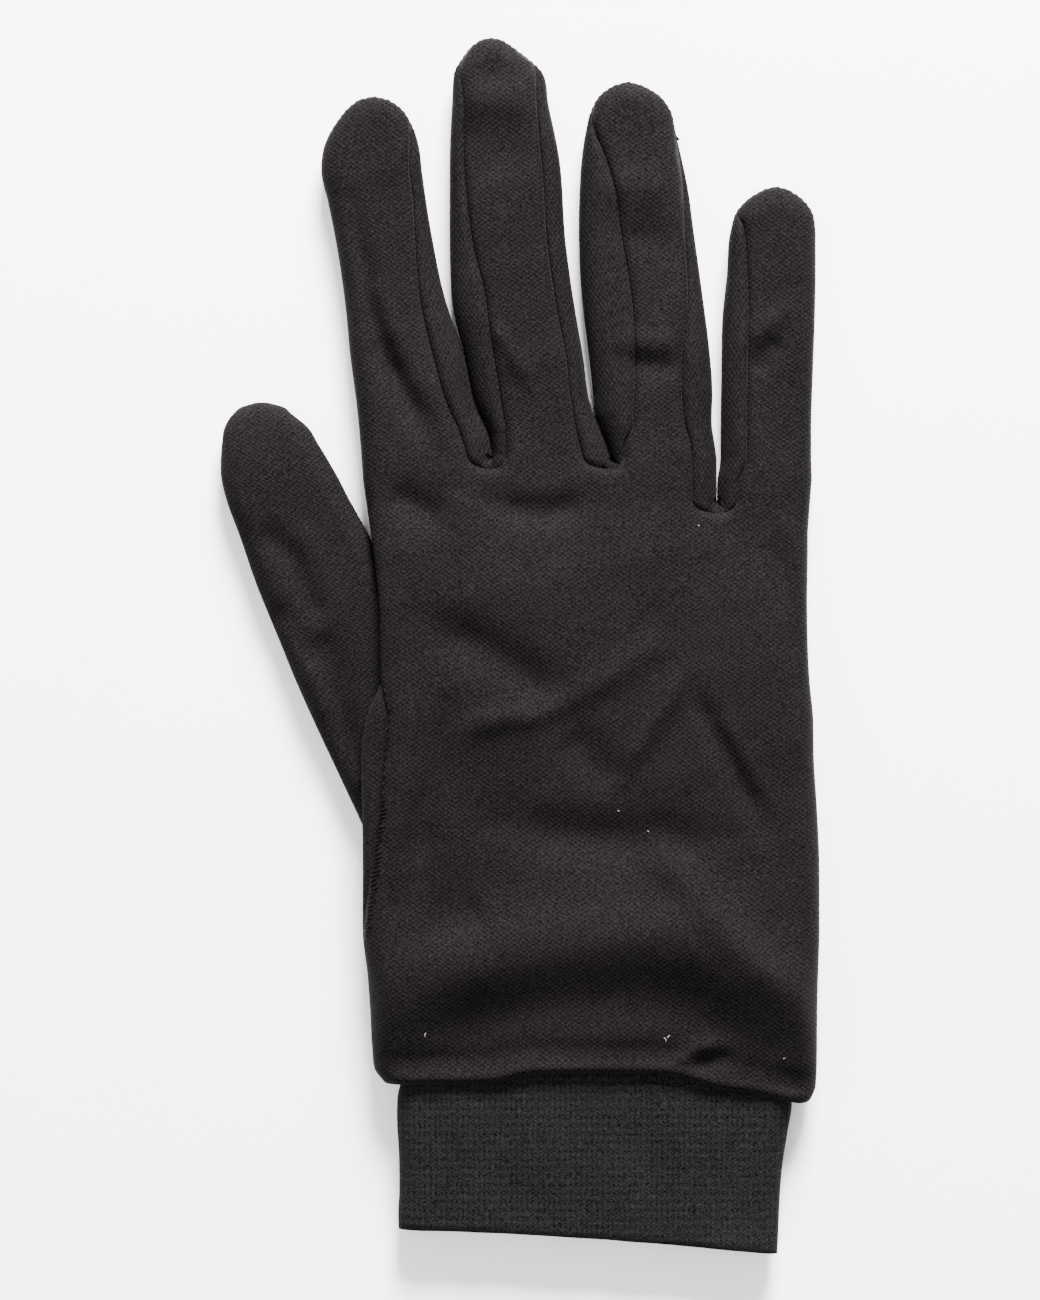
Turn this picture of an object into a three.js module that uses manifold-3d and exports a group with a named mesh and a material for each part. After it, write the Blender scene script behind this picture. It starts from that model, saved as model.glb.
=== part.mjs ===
// A knitted glove liner for a right hand, lying flat with the back of the hand up.
// Millimetres. +X runs from the thumb side to the little-finger side, +Y towards the
// fingertips and +Z up. The glove lies on z = 0, and the origin is under its middle.

import * as THREE from 'three';
import Module from 'manifold-3d';

const wasm = await Module();
wasm.setup();

// Sizes of the fabric
const JERSEY = 1.0;
const RIB = 1.5;
const SEAM_GAP = 0.3;

// Lengths along the hand
const HAND_LENGTH = 128.5;
const LITTLE_DROP = 9.0;
const INDEX_LENGTH = 73.5;
const MIDDLE_LENGTH = 85.5;
const RING_LENGTH = 76.5;
const LITTLE_LENGTH = 64.0;
const THUMB_LENGTH = 108.0;
const THUMB_FOOT = 32.0;
const CUFF_SHOWN = 32.0;
const CUFF_TUCK = 9.0;

// Widths across the hand
const INDEX_WIDTH = 27.3;
const MIDDLE_WIDTH = 23.6;
const RING_WIDTH = 21.1;
const LITTLE_WIDTH = 18.8;
const FINGER_SLIT = 0.6;
const THUMB_WIDTH = 22.1;
const CUFF_WIDTH = 78.0;
const GUSSET_SHOWN = 6.5;
const CROTCH_DEPTH = 2.4;

// Thicknesses of the lying glove
const HAND_HEIGHT = 13.0;
const FINGER_HEIGHT = 9.8;
const THUMB_HEIGHT = 8.2;
const CUFF_HEIGHT = 9.0;
const SIDE_ROUND = 5.0;
const THUMB_REACH = 17.0;

// The lower edge of the hand over the cuff, and the hem of the cuff
const EDGE_LEAN = 1.8;
const EDGE_BOW = 4.7;
const HEM_LEAN = 2.6;

// Faces along one rounded side and across one section
const SHORT_EDGE = 0.25;
const KNUCKLE_LAP = 0.06;
const TIP_SHARE = 0.93;
const SIDE_STEPS = 3;
const HAND_STEPS = 9;
const FINGER_STEPS = 3;
const HAND_STATIONS = 19;
const HALF_STATIONS = 14;
const HALF_STEPS = 8;

const CLEAR = JERSEY + SEAM_GAP;
const HAND_WIDTH = INDEX_WIDTH + MIDDLE_WIDTH + RING_WIDTH + LITTLE_WIDTH + 3 * FINGER_SLIT;
const CUFF_EDGE_ROOF = CUFF_HEIGHT + 2 * CLEAR;

// along: share of the finger's length, left and right: shares of its width from its root's
// middle, seamLeft and seamRight: shares of GUSSET_SHOWN in from the outline, tall: share
// of the finger's thickness.
const INDEX_ROWS = [
  { along: 0.00, left: -0.48, right: 0.50, seamLeft: 0, seamRight: 0.78, tall: 1.00 },
  { along: 0.07, left: -0.50, right: 0.47, seamLeft: 0, seamRight: 0.92, tall: 1.00 },
  { along: 0.14, left: -0.52, right: 0.38, seamLeft: 0, seamRight: 0.90, tall: 0.99 },
  { along: 0.28, left: -0.57, right: 0.29, seamLeft: 0, seamRight: 1.00, tall: 0.97 },
  { along: 0.43, left: -0.61, right: 0.15, seamLeft: 0, seamRight: 0.80, tall: 0.95 },
  { along: 0.60, left: -0.68, right: 0.05, seamLeft: 0, seamRight: 0.55, tall: 0.93 },
  { along: 0.71, left: -0.74, right: 0.00, seamLeft: 0, seamRight: 0.42, tall: 0.92 },
  { along: 0.79, left: -0.80, right: -0.03, seamLeft: 0, seamRight: 0.40, tall: 0.91 },
  { along: 0.87, left: -0.76, right: -0.06, seamLeft: 0, seamRight: 0.25, tall: 0.88 },
  { along: 0.93, left: -0.67, right: -0.12, seamLeft: 0, seamRight: 0.00, tall: 0.80 },
  { along: 0.97, left: -0.58, right: -0.20, seamLeft: 0, seamRight: 0.00, tall: 0.66 },
  { along: 1.00, left: -0.47, right: -0.33, seamLeft: 0, seamRight: 0.00, tall: 0.42 },
];
const MIDDLE_ROWS = [
  { along: 0.00, left: -0.47, right: 0.50, seamLeft: 0.40, seamRight: 0.90, tall: 1.00 },
  { along: 0.05, left: -0.50, right: 0.44, seamLeft: 0.50, seamRight: 0.85, tall: 1.00 },
  { along: 0.12, left: -0.61, right: 0.33, seamLeft: 0.78, seamRight: 0.62, tall: 0.99 },
  { along: 0.24, left: -0.73, right: 0.26, seamLeft: 0.90, seamRight: 0.56, tall: 0.97 },
  { along: 0.37, left: -0.87, right: 0.18, seamLeft: 1.08, seamRight: 0.60, tall: 0.96 },
  { along: 0.51, left: -0.90, right: 0.11, seamLeft: 0.72, seamRight: 0.60, tall: 0.94 },
  { along: 0.72, left: -0.90, right: 0.05, seamLeft: 0.45, seamRight: 0.58, tall: 0.92 },
  { along: 0.84, left: -0.88, right: -0.04, seamLeft: 0.40, seamRight: 0.38, tall: 0.90 },
  { along: 0.92, left: -0.86, right: -0.10, seamLeft: 0.15, seamRight: 0.20, tall: 0.84 },
  { along: 0.95, left: -0.80, right: -0.21, seamLeft: 0.00, seamRight: 0.00, tall: 0.76 },
  { along: 0.98, left: -0.71, right: -0.35, seamLeft: 0.00, seamRight: 0.00, tall: 0.62 },
  { along: 1.00, left: -0.60, right: -0.47, seamLeft: 0.00, seamRight: 0.00, tall: 0.42 },
];
const RING_ROWS = [
  { along: 0.00, left: -0.47, right: 0.48, seamLeft: 0.40, seamRight: 0.80, tall: 1.00 },
  { along: 0.04, left: -0.55, right: 0.46, seamLeft: 0.62, seamRight: 0.80, tall: 1.00 },
  { along: 0.09, left: -0.67, right: 0.45, seamLeft: 1.10, seamRight: 0.87, tall: 0.99 },
  { along: 0.17, left: -0.70, right: 0.46, seamLeft: 1.28, seamRight: 1.00, tall: 0.98 },
  { along: 0.29, left: -0.75, right: 0.43, seamLeft: 1.47, seamRight: 0.87, tall: 0.97 },
  { along: 0.40, left: -0.80, right: 0.38, seamLeft: 1.55, seamRight: 0.56, tall: 0.95 },
  { along: 0.60, left: -0.84, right: 0.28, seamLeft: 1.30, seamRight: 0.30, tall: 0.93 },
  { along: 0.72, left: -0.83, right: 0.22, seamLeft: 1.06, seamRight: 0.16, tall: 0.92 },
  { along: 0.80, left: -0.81, right: 0.16, seamLeft: 0.70, seamRight: 0.08, tall: 0.91 },
  { along: 0.87, left: -0.77, right: 0.10, seamLeft: 0.25, seamRight: 0.00, tall: 0.88 },
  { along: 0.93, left: -0.71, right: 0.04, seamLeft: 0.00, seamRight: 0.00, tall: 0.80 },
  { along: 0.97, left: -0.61, right: -0.09, seamLeft: 0.00, seamRight: 0.00, tall: 0.66 },
  { along: 1.00, left: -0.43, right: -0.29, seamLeft: 0.00, seamRight: 0.00, tall: 0.42 },
];
const LITTLE_ROWS = [
  { along: 0.00, left: -0.48, right: 0.51, seamLeft: 0.60, seamRight: 0, tall: 1.00 },
  { along: 0.06, left: -0.47, right: 0.51, seamLeft: 0.66, seamRight: 0, tall: 1.00 },
  { along: 0.12, left: -0.49, right: 0.50, seamLeft: 0.78, seamRight: 0, tall: 0.99 },
  { along: 0.23, left: -0.49, right: 0.50, seamLeft: 0.80, seamRight: 0, tall: 0.98 },
  { along: 0.42, left: -0.48, right: 0.52, seamLeft: 0.80, seamRight: 0, tall: 0.96 },
  { along: 0.58, left: -0.47, right: 0.54, seamLeft: 0.80, seamRight: 0, tall: 0.94 },
  { along: 0.72, left: -0.42, right: 0.55, seamLeft: 0.62, seamRight: 0, tall: 0.92 },
  { along: 0.86, left: -0.38, right: 0.55, seamLeft: 0.40, seamRight: 0, tall: 0.88 },
  { along: 0.93, left: -0.29, right: 0.49, seamLeft: 0.00, seamRight: 0, tall: 0.80 },
  { along: 0.97, left: -0.12, right: 0.34, seamLeft: 0.00, seamRight: 0, tall: 0.66 },
  { along: 1.00, left: 0.04, right: 0.18, seamLeft: 0.00, seamRight: 0, tall: 0.42 },
];

// along: share of HAND_LENGTH up from the cuff, left and right: shares of HAND_WIDTH,
// tall: share of HAND_HEIGHT, lift: how far the thumb side is raised, a share of the
// thumb's thickness.
const HAND_ROWS = [
  { along: 0.00, left: -0.463, right: 0.474, tall: 0.86, lift: 0.00 },
  { along: 0.02, left: -0.486, right: 0.490, tall: 0.98, lift: 0.00 },
  { along: 0.06, left: -0.492, right: 0.492, tall: 1.10, lift: 0.00 },
  { along: 0.12, left: -0.496, right: 0.492, tall: 1.14, lift: 0.00 },
  { along: 0.18, left: -0.502, right: 0.494, tall: 1.12, lift: 0.10 },
  { along: 0.24, left: -0.512, right: 0.497, tall: 1.06, lift: 0.35 },
  { along: 0.36, left: -0.511, right: 0.497, tall: 1.00, lift: 0.85 },
  { along: 0.44, left: -0.512, right: 0.492, tall: 0.98, lift: 1.00 },
  { along: 0.52, left: -0.514, right: 0.485, tall: 1.00, lift: 1.00 },
  { along: 0.59, left: -0.500, right: 0.483, tall: 1.02, lift: 1.00 },
  { along: 0.64, left: -0.472, right: 0.476, tall: 1.02, lift: 1.00 },
  { along: 0.77, left: -0.475, right: 0.470, tall: 1.00, lift: 1.00 },
  { along: 0.86, left: -0.490, right: 0.472, tall: 0.94, lift: 0.70 },
  { along: 0.93, left: -0.505, right: 0.472, tall: 0.86, lift: 0.25 },
  { along: 1.00, left: -0.520, right: 0.472, tall: 0.78, lift: 0.00 },
];

// along: share of the cuff from its tucked top to its hem, left and right: shares of
// CUFF_WIDTH, sunk: 1 where it runs inside the hand, 0 where it lies on the surface.
const CUFF_ROWS = [
  { along: 0.00, left: -0.508, right: 0.508, sunk: 1 },
  { along: 0.22, left: -0.510, right: 0.515, sunk: 1 },
  { along: 0.36, left: -0.514, right: 0.512, sunk: 1 },
  { along: 0.46, left: -0.513, right: 0.500, sunk: 0 },
  { along: 0.60, left: -0.510, right: 0.492, sunk: 0 },
  { along: 0.78, left: -0.510, right: 0.488, sunk: 0 },
  { along: 0.92, left: -0.516, right: 0.484, sunk: 0 },
  { along: 1.00, left: -0.514, right: 0.484, sunk: 0 },
];

// along: share of THUMB_LENGTH from its foot to its tip, left and right: shares of
// THUMB_WIDTH from the hand's thumb-side edge, tall: share of THUMB_HEIGHT.
const THUMB_ROWS = [
  { along: 0.000, left: 0.30, right: 0.50, tall: 0.50 },
  { along: 0.030, left: 0.24, right: 0.58, tall: 0.66 },
  { along: 0.090, left: 0.18, right: 0.64, tall: 0.85 },
  { along: 0.180, left: 0.02, right: 0.70, tall: 0.96 },
  { along: 0.270, left: -0.18, right: 0.70, tall: 1.00 },
  { along: 0.370, left: -0.41, right: 0.64, tall: 1.00 },
  { along: 0.465, left: -0.62, right: 0.54, tall: 1.00 },
  { along: 0.560, left: -0.81, right: 0.41, tall: 1.00 },
  { along: 0.655, left: -1.00, right: 0.24, tall: 1.00 },
  { along: 0.750, left: -1.16, right: 0.04, tall: 1.00 },
  { along: 0.810, left: -1.27, right: -0.12, tall: 1.00 },
  { along: 0.865, left: -1.33, right: -0.26, tall: 0.99 },
  { along: 0.920, left: -1.32, right: -0.42, tall: 0.96 },
  { along: 0.955, left: -1.30, right: -0.53, tall: 0.90 },
  { along: 0.980, left: -1.22, right: -0.67, tall: 0.78 },
  { along: 1.000, left: -1.03, right: -0.85, tall: 0.50 },
];

// The stitched seam on the thumb side. along: share of HAND_LENGTH, in: share of
// GUSSET_SHOWN in from the outline.
const THUMB_SEAM_ROWS = [
  { along: 0.235, in: 0.00 },
  { along: 0.27, in: 0.08 },
  { along: 0.31, in: 0.18 },
  { along: 0.40, in: 0.42 },
  { along: 0.48, in: 0.62 },
  { along: 0.545, in: 0.70 },
  { along: 0.585, in: 0.68 },
  { along: 0.62, in: 0.24 },
  { along: 0.64, in: 0.00 },
];

// Folds in the back of the hand, from one end to the other. across: share of HAND_WIDTH
// from the middle, along: share of HAND_LENGTH, wide and rise: shares of HAND_HEIGHT.
const FOLD_ROWS = [
  { across: -0.40, along: 0.14, toAcross: -0.12, toAlong: 0.20, wide: 0.55, rise: 0.13 },
  { across: -0.12, along: 0.20, toAcross: 0.22, toAlong: 0.21, wide: 0.60, rise: 0.16 },
  { across: 0.22, along: 0.21, toAcross: 0.45, toAlong: 0.12, wide: 0.50, rise: 0.12 },
  { across: -0.36, along: 0.07, toAcross: 0.10, toAlong: 0.06, wide: 0.60, rise: -0.08 },
  { across: 0.12, along: 0.40, toAcross: 0.34, toAlong: 0.21, wide: 0.35, rise: 0.08 },
  { across: -0.16, along: 0.46, toAcross: 0.30, toAlong: 0.43, wide: 0.50, rise: -0.08 },
  { across: -0.28, along: 0.57, toAcross: 0.08, toAlong: 0.66, wide: 0.40, rise: 0.07 },
  { across: -0.34, along: 0.73, toAcross: -0.13, toAlong: 0.64, wide: 0.55, rise: -0.08 },
  { across: 0.08, along: 0.50, toAcross: 0.22, toAlong: 0.67, wide: 0.40, rise: 0.06 },
  { across: 0.38, along: 0.89, toAcross: 0.45, toAlong: 0.76, wide: 0.40, rise: -0.07 },
];

// Row of a table at one share of the way along it, each column taken between two rows
function rowAt(rows, along) {
  const last = rows.length - 1;
  let next = 1;
  while (next < last && rows[next].along < along) {
    next += 1;
  }
  const low = rows[next - 1];
  const high = rows[next];
  const part = Math.min(1, Math.max(0, (along - low.along) / (high.along - low.along)));
  const row = {};
  for (const name of Object.keys(low)) {
    row[name] = low[name] + (high[name] - low[name]) * part;
  }
  return row;
}

const ease = (value) => {
  const part = Math.min(1, Math.max(0, value));
  return part * part * (3 - 2 * part);
};

// One closed ring of points: a slab with a floor, a roof and rounded sides
function ring(section, inset, steps) {
  const left = section.left + inset;
  const right = section.right - inset;
  const roundness = Math.min(SIDE_ROUND - inset, (right - left) / 2.2);
  const stations = [];
  for (let step = 0; step < SIDE_STEPS; step += 1) {
    const angle = (step / SIDE_STEPS) * Math.PI / 2;
    stations.push([left + roundness * (1 - Math.cos(angle)), Math.sin(angle)]);
  }
  for (let step = 0; step <= steps; step += 1) {
    stations.push([left + roundness + (right - left - 2 * roundness) * step / steps, 1]);
  }
  for (let step = SIDE_STEPS - 1; step >= 0; step -= 1) {
    const angle = (step / SIDE_STEPS) * Math.PI / 2;
    stations.push([right - roundness * (1 - Math.cos(angle)), Math.sin(angle)]);
  }
  const top = [];
  const bottom = [];
  for (const [x, fullness] of stations) {
    const floor = section.floor(x) + inset;
    const roof = Math.max(section.roof(x) - inset, floor + JERSEY / 2);
    const middle = (floor + roof) / 2;
    const half = (roof - floor) / 2 * fullness;
    top.push(new THREE.Vector3(x, section.y(x), middle + half));
    bottom.push(new THREE.Vector3(x, section.y(x), middle - half));
  }
  return { top, bottom };
}

// A solid from triangles given as points, with its faces turned out
function solidFrom(points, faces) {
  let volume = 0;
  for (const [a, b, c] of faces) {
    volume += points[a].dot(new THREE.Vector3().crossVectors(points[b], points[c]));
  }
  const turned = volume < 0 ? faces.map(([a, b, c]) => [a, c, b]) : faces;
  return new wasm.Manifold(new wasm.Mesh({
    numProp: 3,
    vertProperties: new Float32Array(points.flatMap((point) => point.toArray())),
    triVerts: new Uint32Array(turned.flat()),
  }));
}

// A solid lofted through rings, closed at both ends
function loft(rings) {
  const across = rings[0].top.length;
  const around = 2 * across - 2;
  const points = [];
  for (const { top, bottom } of rings) {
    points.push(...top);
    for (let place = across - 2; place > 0; place -= 1) {
      points.push(bottom[place]);
    }
  }
  const faces = [];
  for (let station = 0; station < rings.length - 1; station += 1) {
    for (let place = 0; place < around; place += 1) {
      const a = station * around + place;
      const b = station * around + (place + 1) % around;
      faces.push([a, b, b + around], [a, b + around, a + around]);
    }
  }
  for (const [station, turn] of [[0, false], [rings.length - 1, true]]) {
    const start = station * around;
    const under = (place) => start + (around - place) % around;
    for (let place = 0; place < across - 1; place += 1) {
      const a = start + place;
      const b = start + place + 1;
      const c = place + 1 === across - 1 ? b : under(place + 1);
      const d = place === 0 ? a : under(place);
      const corners = [[a, d, c], [a, c, b]];
      for (const face of corners) {
        if (new Set(face).size === 3) {
          faces.push(turn ? [face[0], face[2], face[1]] : face);
        }
      }
    }
  }
  return solidFrom(points, faces);
}

// An upright prism over an outline
function prism(outline, low, high) {
  const shape = new THREE.Shape(outline.map(([x, y]) => new THREE.Vector2(x, y)));
  const geometry = new THREE.ExtrudeGeometry(shape, { depth: high - low, bevelEnabled: false });
  geometry.translate(0, 0, low);
  const position = geometry.getAttribute('position');
  const points = [];
  const keys = new Map();
  const order = [];
  for (let place = 0; place < position.count; place += 1) {
    const point = new THREE.Vector3().fromBufferAttribute(position, place);
    const key = point.toArray().map((value) => value.toFixed(5)).join();
    if (!keys.has(key)) {
      keys.set(key, points.length);
      points.push(point);
    }
    order.push(keys.get(key));
  }
  const faces = [];
  for (let place = 0; place < order.length; place += 3) {
    faces.push([order[place], order[place + 1], order[place + 2]]);
  }
  return solidFrom(points, faces);
}

// Fingers, each standing beside the one before it
const FINGERS = [
  { name: 'index', rows: INDEX_ROWS, length: INDEX_LENGTH, width: INDEX_WIDTH, drop: 0 },
  { name: 'middle', rows: MIDDLE_ROWS, length: MIDDLE_LENGTH, width: MIDDLE_WIDTH, drop: 0 },
  { name: 'ring', rows: RING_ROWS, length: RING_LENGTH, width: RING_WIDTH, drop: 0 },
  { name: 'little', rows: LITTLE_ROWS, length: LITTLE_LENGTH, width: LITTLE_WIDTH, drop: LITTLE_DROP },
];
let rootLeft = HAND_ROWS[HAND_ROWS.length - 1].left * HAND_WIDTH;
for (const finger of FINGERS) {
  finger.middle = rootLeft + finger.width / 2;
  finger.root = HAND_LENGTH - finger.drop;
  rootLeft += finger.width + FINGER_SLIT;
}

function fingerOutline(finger, along) {
  const row = rowAt(finger.rows, along);
  return {
    y: finger.root + along * finger.length,
    left: finger.middle + row.left * finger.width,
    right: finger.middle + row.right * finger.width,
    seamLeft: row.seamLeft * GUSSET_SHOWN,
    seamRight: row.seamRight * GUSSET_SHOWN,
    roof: row.tall * FINGER_HEIGHT,
  };
}

// The left edge of a finger stays a slit clear of the right edge of the one before it
function clearOf(finger, before, outline) {
  if (!before) {
    return outline;
  }
  const along = Math.min(1, Math.max(0, (outline.y - before.root) / before.length));
  const edge = fingerOutline(before, along).right + FINGER_SLIT;
  const past = outline.y > before.root + before.length;
  return { ...outline, left: past ? outline.left : Math.max(outline.left, edge) };
}

function fingerSolid(finger, before, inset) {
  const root = fingerOutline(finger, 0);
  const rings = [];
  for (const depth of [SIDE_ROUND * 1.6, 0]) {
    const start = clearOf(finger, before, root);
    rings.push(ring({
      left: start.left,
      right: start.right,
      floor: () => 0,
      roof: () => root.roof,
      y: () => root.y - depth,
    }, inset, FINGER_STEPS));
  }
  for (const { along } of finger.rows.slice(1)) {
    const outline = clearOf(finger, before, fingerOutline(finger, along));
    const shorten = along === 1 ? inset : 0;
    rings.push(ring({
      left: outline.left,
      right: outline.right,
      floor: () => 0,
      roof: () => outline.roof,
      y: () => outline.y - shorten,
    }, Math.min(inset, (outline.right - outline.left) / 3), FINGER_STEPS));
  }
  return loft(rings);
}

// Rise of the folds over one place of the hand
function foldRise(x, y) {
  let rise = 0;
  for (const fold of FOLD_ROWS) {
    const start = new THREE.Vector2(fold.across * HAND_WIDTH, fold.along * HAND_LENGTH);
    const end = new THREE.Vector2(fold.toAcross * HAND_WIDTH, fold.toAlong * HAND_LENGTH);
    const run = end.clone().sub(start);
    const place = new THREE.Vector2(x, y).sub(start);
    const part = Math.min(1, Math.max(0, place.dot(run) / run.lengthSq()));
    const away = place.sub(run.multiplyScalar(part)).length() / (fold.wide * HAND_HEIGHT);
    rise += fold.rise * HAND_HEIGHT * Math.exp(-away * away);
  }
  return rise;
}

// The hand between two shares of its length, and its edges at one share
const CUFF_MOST = Math.max(...CUFF_ROWS.map((row) => Math.max(-row.left, row.right))) * CUFF_WIDTH + CLEAR;

function handOutline(along) {
  const row = rowAt(HAND_ROWS, along);
  const nearCuff = 1 - ease(along / 0.12);
  const least = CUFF_MOST * nearCuff;
  return {
    left: Math.min(row.left * HAND_WIDTH, -least),
    right: Math.max(row.right * HAND_WIDTH, least),
    roof: Math.max(row.tall * HAND_HEIGHT, CUFF_EDGE_ROOF * nearCuff),
    lift: row.lift * (THUMB_HEIGHT + SEAM_GAP),
    nearCuff,
  };
}

function handSection(along, right) {
  const outline = handOutline(along);
  const y = along * HAND_LENGTH;
  const half = (outline.right - outline.left) / 2;
  const calm = ease((along - 0.02) / 0.08) * ease((1 - along) / 0.1);
  return {
    left: outline.left,
    right: Math.min(outline.right, right),
    floor: (x) => outline.lift * (1 - ease((x - outline.left) / THUMB_REACH)),
    roof: (x) => Math.max(
      outline.roof + calm * foldRise(x, y),
      outline.lift * (1 - ease((x - outline.left) / THUMB_REACH)) + 4.4 * JERSEY,
    ),
    y: (x) => {
      const across = x / half;
      return y + outline.nearCuff * (EDGE_BOW * (1 - across * across) - EDGE_LEAN * across);
    },
  };
}

function handSolid(inset, from) {
  const rings = [];
  const top = 1 - LITTLE_DROP / HAND_LENGTH;
  for (let station = 0; station <= HAND_STATIONS; station += 1) {
    const along = from + (top - from) * station / HAND_STATIONS;
    rings.push(ring(handSection(along, Infinity), inset, HAND_STEPS));
  }
  const hand = loft(shorten(rings, inset));
  const ringEdge = FINGERS[2].middle + FINGERS[2].rows[0].right * RING_WIDTH;
  const knuckles = [];
  for (let station = 0; station <= 3; station += 1) {
    const along = top - KNUCKLE_LAP + (1 + KNUCKLE_LAP - top) * station / 3;
    const section = handSection(along, ringEdge);
    const sunk = SEAM_GAP / 2 + (station === 0 ? JERSEY : 0);
    knuckles.push(ring({ ...section, roof: (x) => section.roof(x) - sunk }, inset, HAND_STEPS));
  }
  return hand.add(loft(shorten(knuckles, inset)));
}

// The last ring of a lining stops one wall short of the outside
function shorten(rings, inset) {
  const last = rings[rings.length - 1];
  for (const point of [...last.top, ...last.bottom]) {
    point.y -= inset;
  }
  return rings;
}

function gloveSolid(inset, from) {
  let glove = handSolid(inset, from);
  FINGERS.forEach((finger, place) => {
    glove = glove.add(fingerSolid(finger, FINGERS[place - 1], inset));
  });
  return glove;
}

// The strip between two fingers, seen from above: down one seam, round the crotch and up
// the other. spread widens it by the gap that the sewn edges keep.
function gussetPrism(left, right, spread) {
  const down = [];
  const up = [];
  for (const { along } of left.rows) {
    const outline = fingerOutline(left, along);
    if (outline.seamRight > 0) {
      down.unshift([outline.right - outline.seamRight - spread, outline.y]);
    }
  }
  for (const { along } of right.rows) {
    const outline = clearOf(right, left, fingerOutline(right, along));
    if (outline.seamLeft > 0) {
      up.push([outline.left + outline.seamLeft + spread, outline.y]);
    }
  }
  const slit = clearOf(right, left, fingerOutline(right, 0)).left - FINGER_SLIT / 2;
  const crotch = Math.min(left.root, right.root);
  const start = down.findLast(([, y]) => y >= crotch)[0];
  const end = up[0][0];
  const arc = [];
  for (let step = 0; step <= 8; step += 1) {
    const angle = (step / 8) * Math.PI;
    const reach = Math.cos(angle);
    const x = reach > 0 ? slit - (slit - start) * reach : slit - (end - slit) * reach;
    arc.push([x, crotch - (CROTCH_DEPTH + spread) * Math.sin(angle)]);
  }
  const tipLeft = [fingerOutline(left, TIP_SHARE).right, left.root + left.length * TIP_SHARE + spread];
  const tipRight = [fingerOutline(right, TIP_SHARE).left, right.root + right.length * TIP_SHARE + spread];
  const sides = [tipLeft, ...down.filter(([, y]) => y > crotch), ...arc];
  return prism([...sides, ...up.filter(([, y]) => y > crotch), tipRight], -1, HAND_HEIGHT * 2);
}

// The part of the palm piece that wraps up past the thumb-side seam
function wrapPrism(spread) {
  const seam = THUMB_SEAM_ROWS.map((row) => [
    handOutline(row.along).left + row.in * GUSSET_SHOWN + spread,
    row.along * HAND_LENGTH,
  ]);
  const beyond = -HAND_WIDTH;
  const low = seam[0][1] - spread;
  const high = seam[seam.length - 1][1] + spread;
  const outline = [[beyond, low], [seam[0][0], low], ...seam, [seam[seam.length - 1][0], high], [beyond, high]];
  return prism(outline, -1, HAND_HEIGHT * 2);
}

// Everything above or below the sewn edge that runs round the sides and the tips
function halfSpace(upper) {
  const rings = [];
  const tip = HAND_LENGTH + MIDDLE_LENGTH;
  for (let station = 0; station <= HALF_STATIONS; station += 1) {
    const y = -HAND_HEIGHT + (tip + 2 * HAND_HEIGHT) * station / HALF_STATIONS;
    const along = Math.min(1, Math.max(0, y / HAND_LENGTH));
    const outline = handOutline(along);
    const height = y > HAND_LENGTH ? FINGER_HEIGHT * 0.9 : outline.roof;
    const edge = (x) => {
      const lift = outline.lift * (1 - ease((x - outline.left) / THUMB_REACH));
      return (height + lift) / 2;
    };
    const top = [];
    const bottom = [];
    for (let step = 0; step <= HALF_STEPS; step += 1) {
      const x = HAND_WIDTH * (step / HALF_STEPS * 1.6 - 0.8);
      const seam = edge(x) + (upper ? SEAM_GAP / 2 : -SEAM_GAP / 2);
      top.push(new THREE.Vector3(x, y, upper ? 3 * HAND_HEIGHT : seam));
      bottom.push(new THREE.Vector3(x, y, upper ? seam : -HAND_HEIGHT));
    }
    rings.push({ top, bottom });
  }
  return slabLoft(rings);
}

// A solid between an upper and a lower grid of points
function slabLoft(rings) {
  const across = rings[0].top.length;
  const points = rings.flatMap(({ top, bottom }) => [...top, ...bottom]);
  const faces = [];
  const at = (station, place, under) => station * 2 * across + place + (under ? across : 0);
  const quad = (a, b, c, d) => faces.push([a, b, c], [a, c, d]);
  for (let station = 0; station < rings.length - 1; station += 1) {
    for (let place = 0; place < across - 1; place += 1) {
      quad(at(station, place), at(station, place + 1), at(station + 1, place + 1), at(station + 1, place));
      quad(
        at(station, place, true),
        at(station + 1, place, true),
        at(station + 1, place + 1, true),
        at(station, place + 1, true),
      );
    }
    for (const [place, turn] of [[0, true], [across - 1, false]]) {
      const corners = [
        at(station, place),
        at(station, place, true),
        at(station + 1, place, true),
        at(station + 1, place),
      ];
      quad(...(turn ? corners.reverse() : corners));
    }
  }
  for (const [station, turn] of [[0, false], [rings.length - 1, true]]) {
    for (let place = 0; place < across - 1; place += 1) {
      const corners = [
        at(station, place),
        at(station, place, true),
        at(station, place + 1, true),
        at(station, place + 1),
      ];
      quad(...(turn ? corners.reverse() : corners));
    }
  }
  return solidFrom(points, faces);
}

function thumbSolid(inset) {
  const rings = THUMB_ROWS.map((row, place) => {
    const end = place === THUMB_ROWS.length - 1 ? -inset : 0;
    const edge = HAND_ROWS[6].left * HAND_WIDTH;
    return ring({
      left: edge + row.left * THUMB_WIDTH,
      right: edge + row.right * THUMB_WIDTH,
      floor: () => 0,
      roof: () => row.tall * THUMB_HEIGHT,
      y: () => THUMB_FOOT + row.along * THUMB_LENGTH + (place === 0 ? inset : end),
    }, inset, FINGER_STEPS);
  });
  return loft(rings);
}

function cuffSolid(inset, past) {
  const length = CUFF_TUCK + CUFF_SHOWN;
  const rings = CUFF_ROWS.map((row, place) => {
    const base = row.sunk * CLEAR;
    const half = CUFF_WIDTH / 2;
    const open = place === 0 ? past : place === CUFF_ROWS.length - 1 ? -past : 0;
    return ring({
      left: row.left * CUFF_WIDTH,
      right: row.right * CUFF_WIDTH,
      floor: () => base,
      roof: () => base + CUFF_HEIGHT,
      y: (x) => CUFF_TUCK - row.along * length - HEM_LEAN * row.along * x / half + open,
    }, inset, HAND_STEPS);
  });
  return loft(rings);
}

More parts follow.
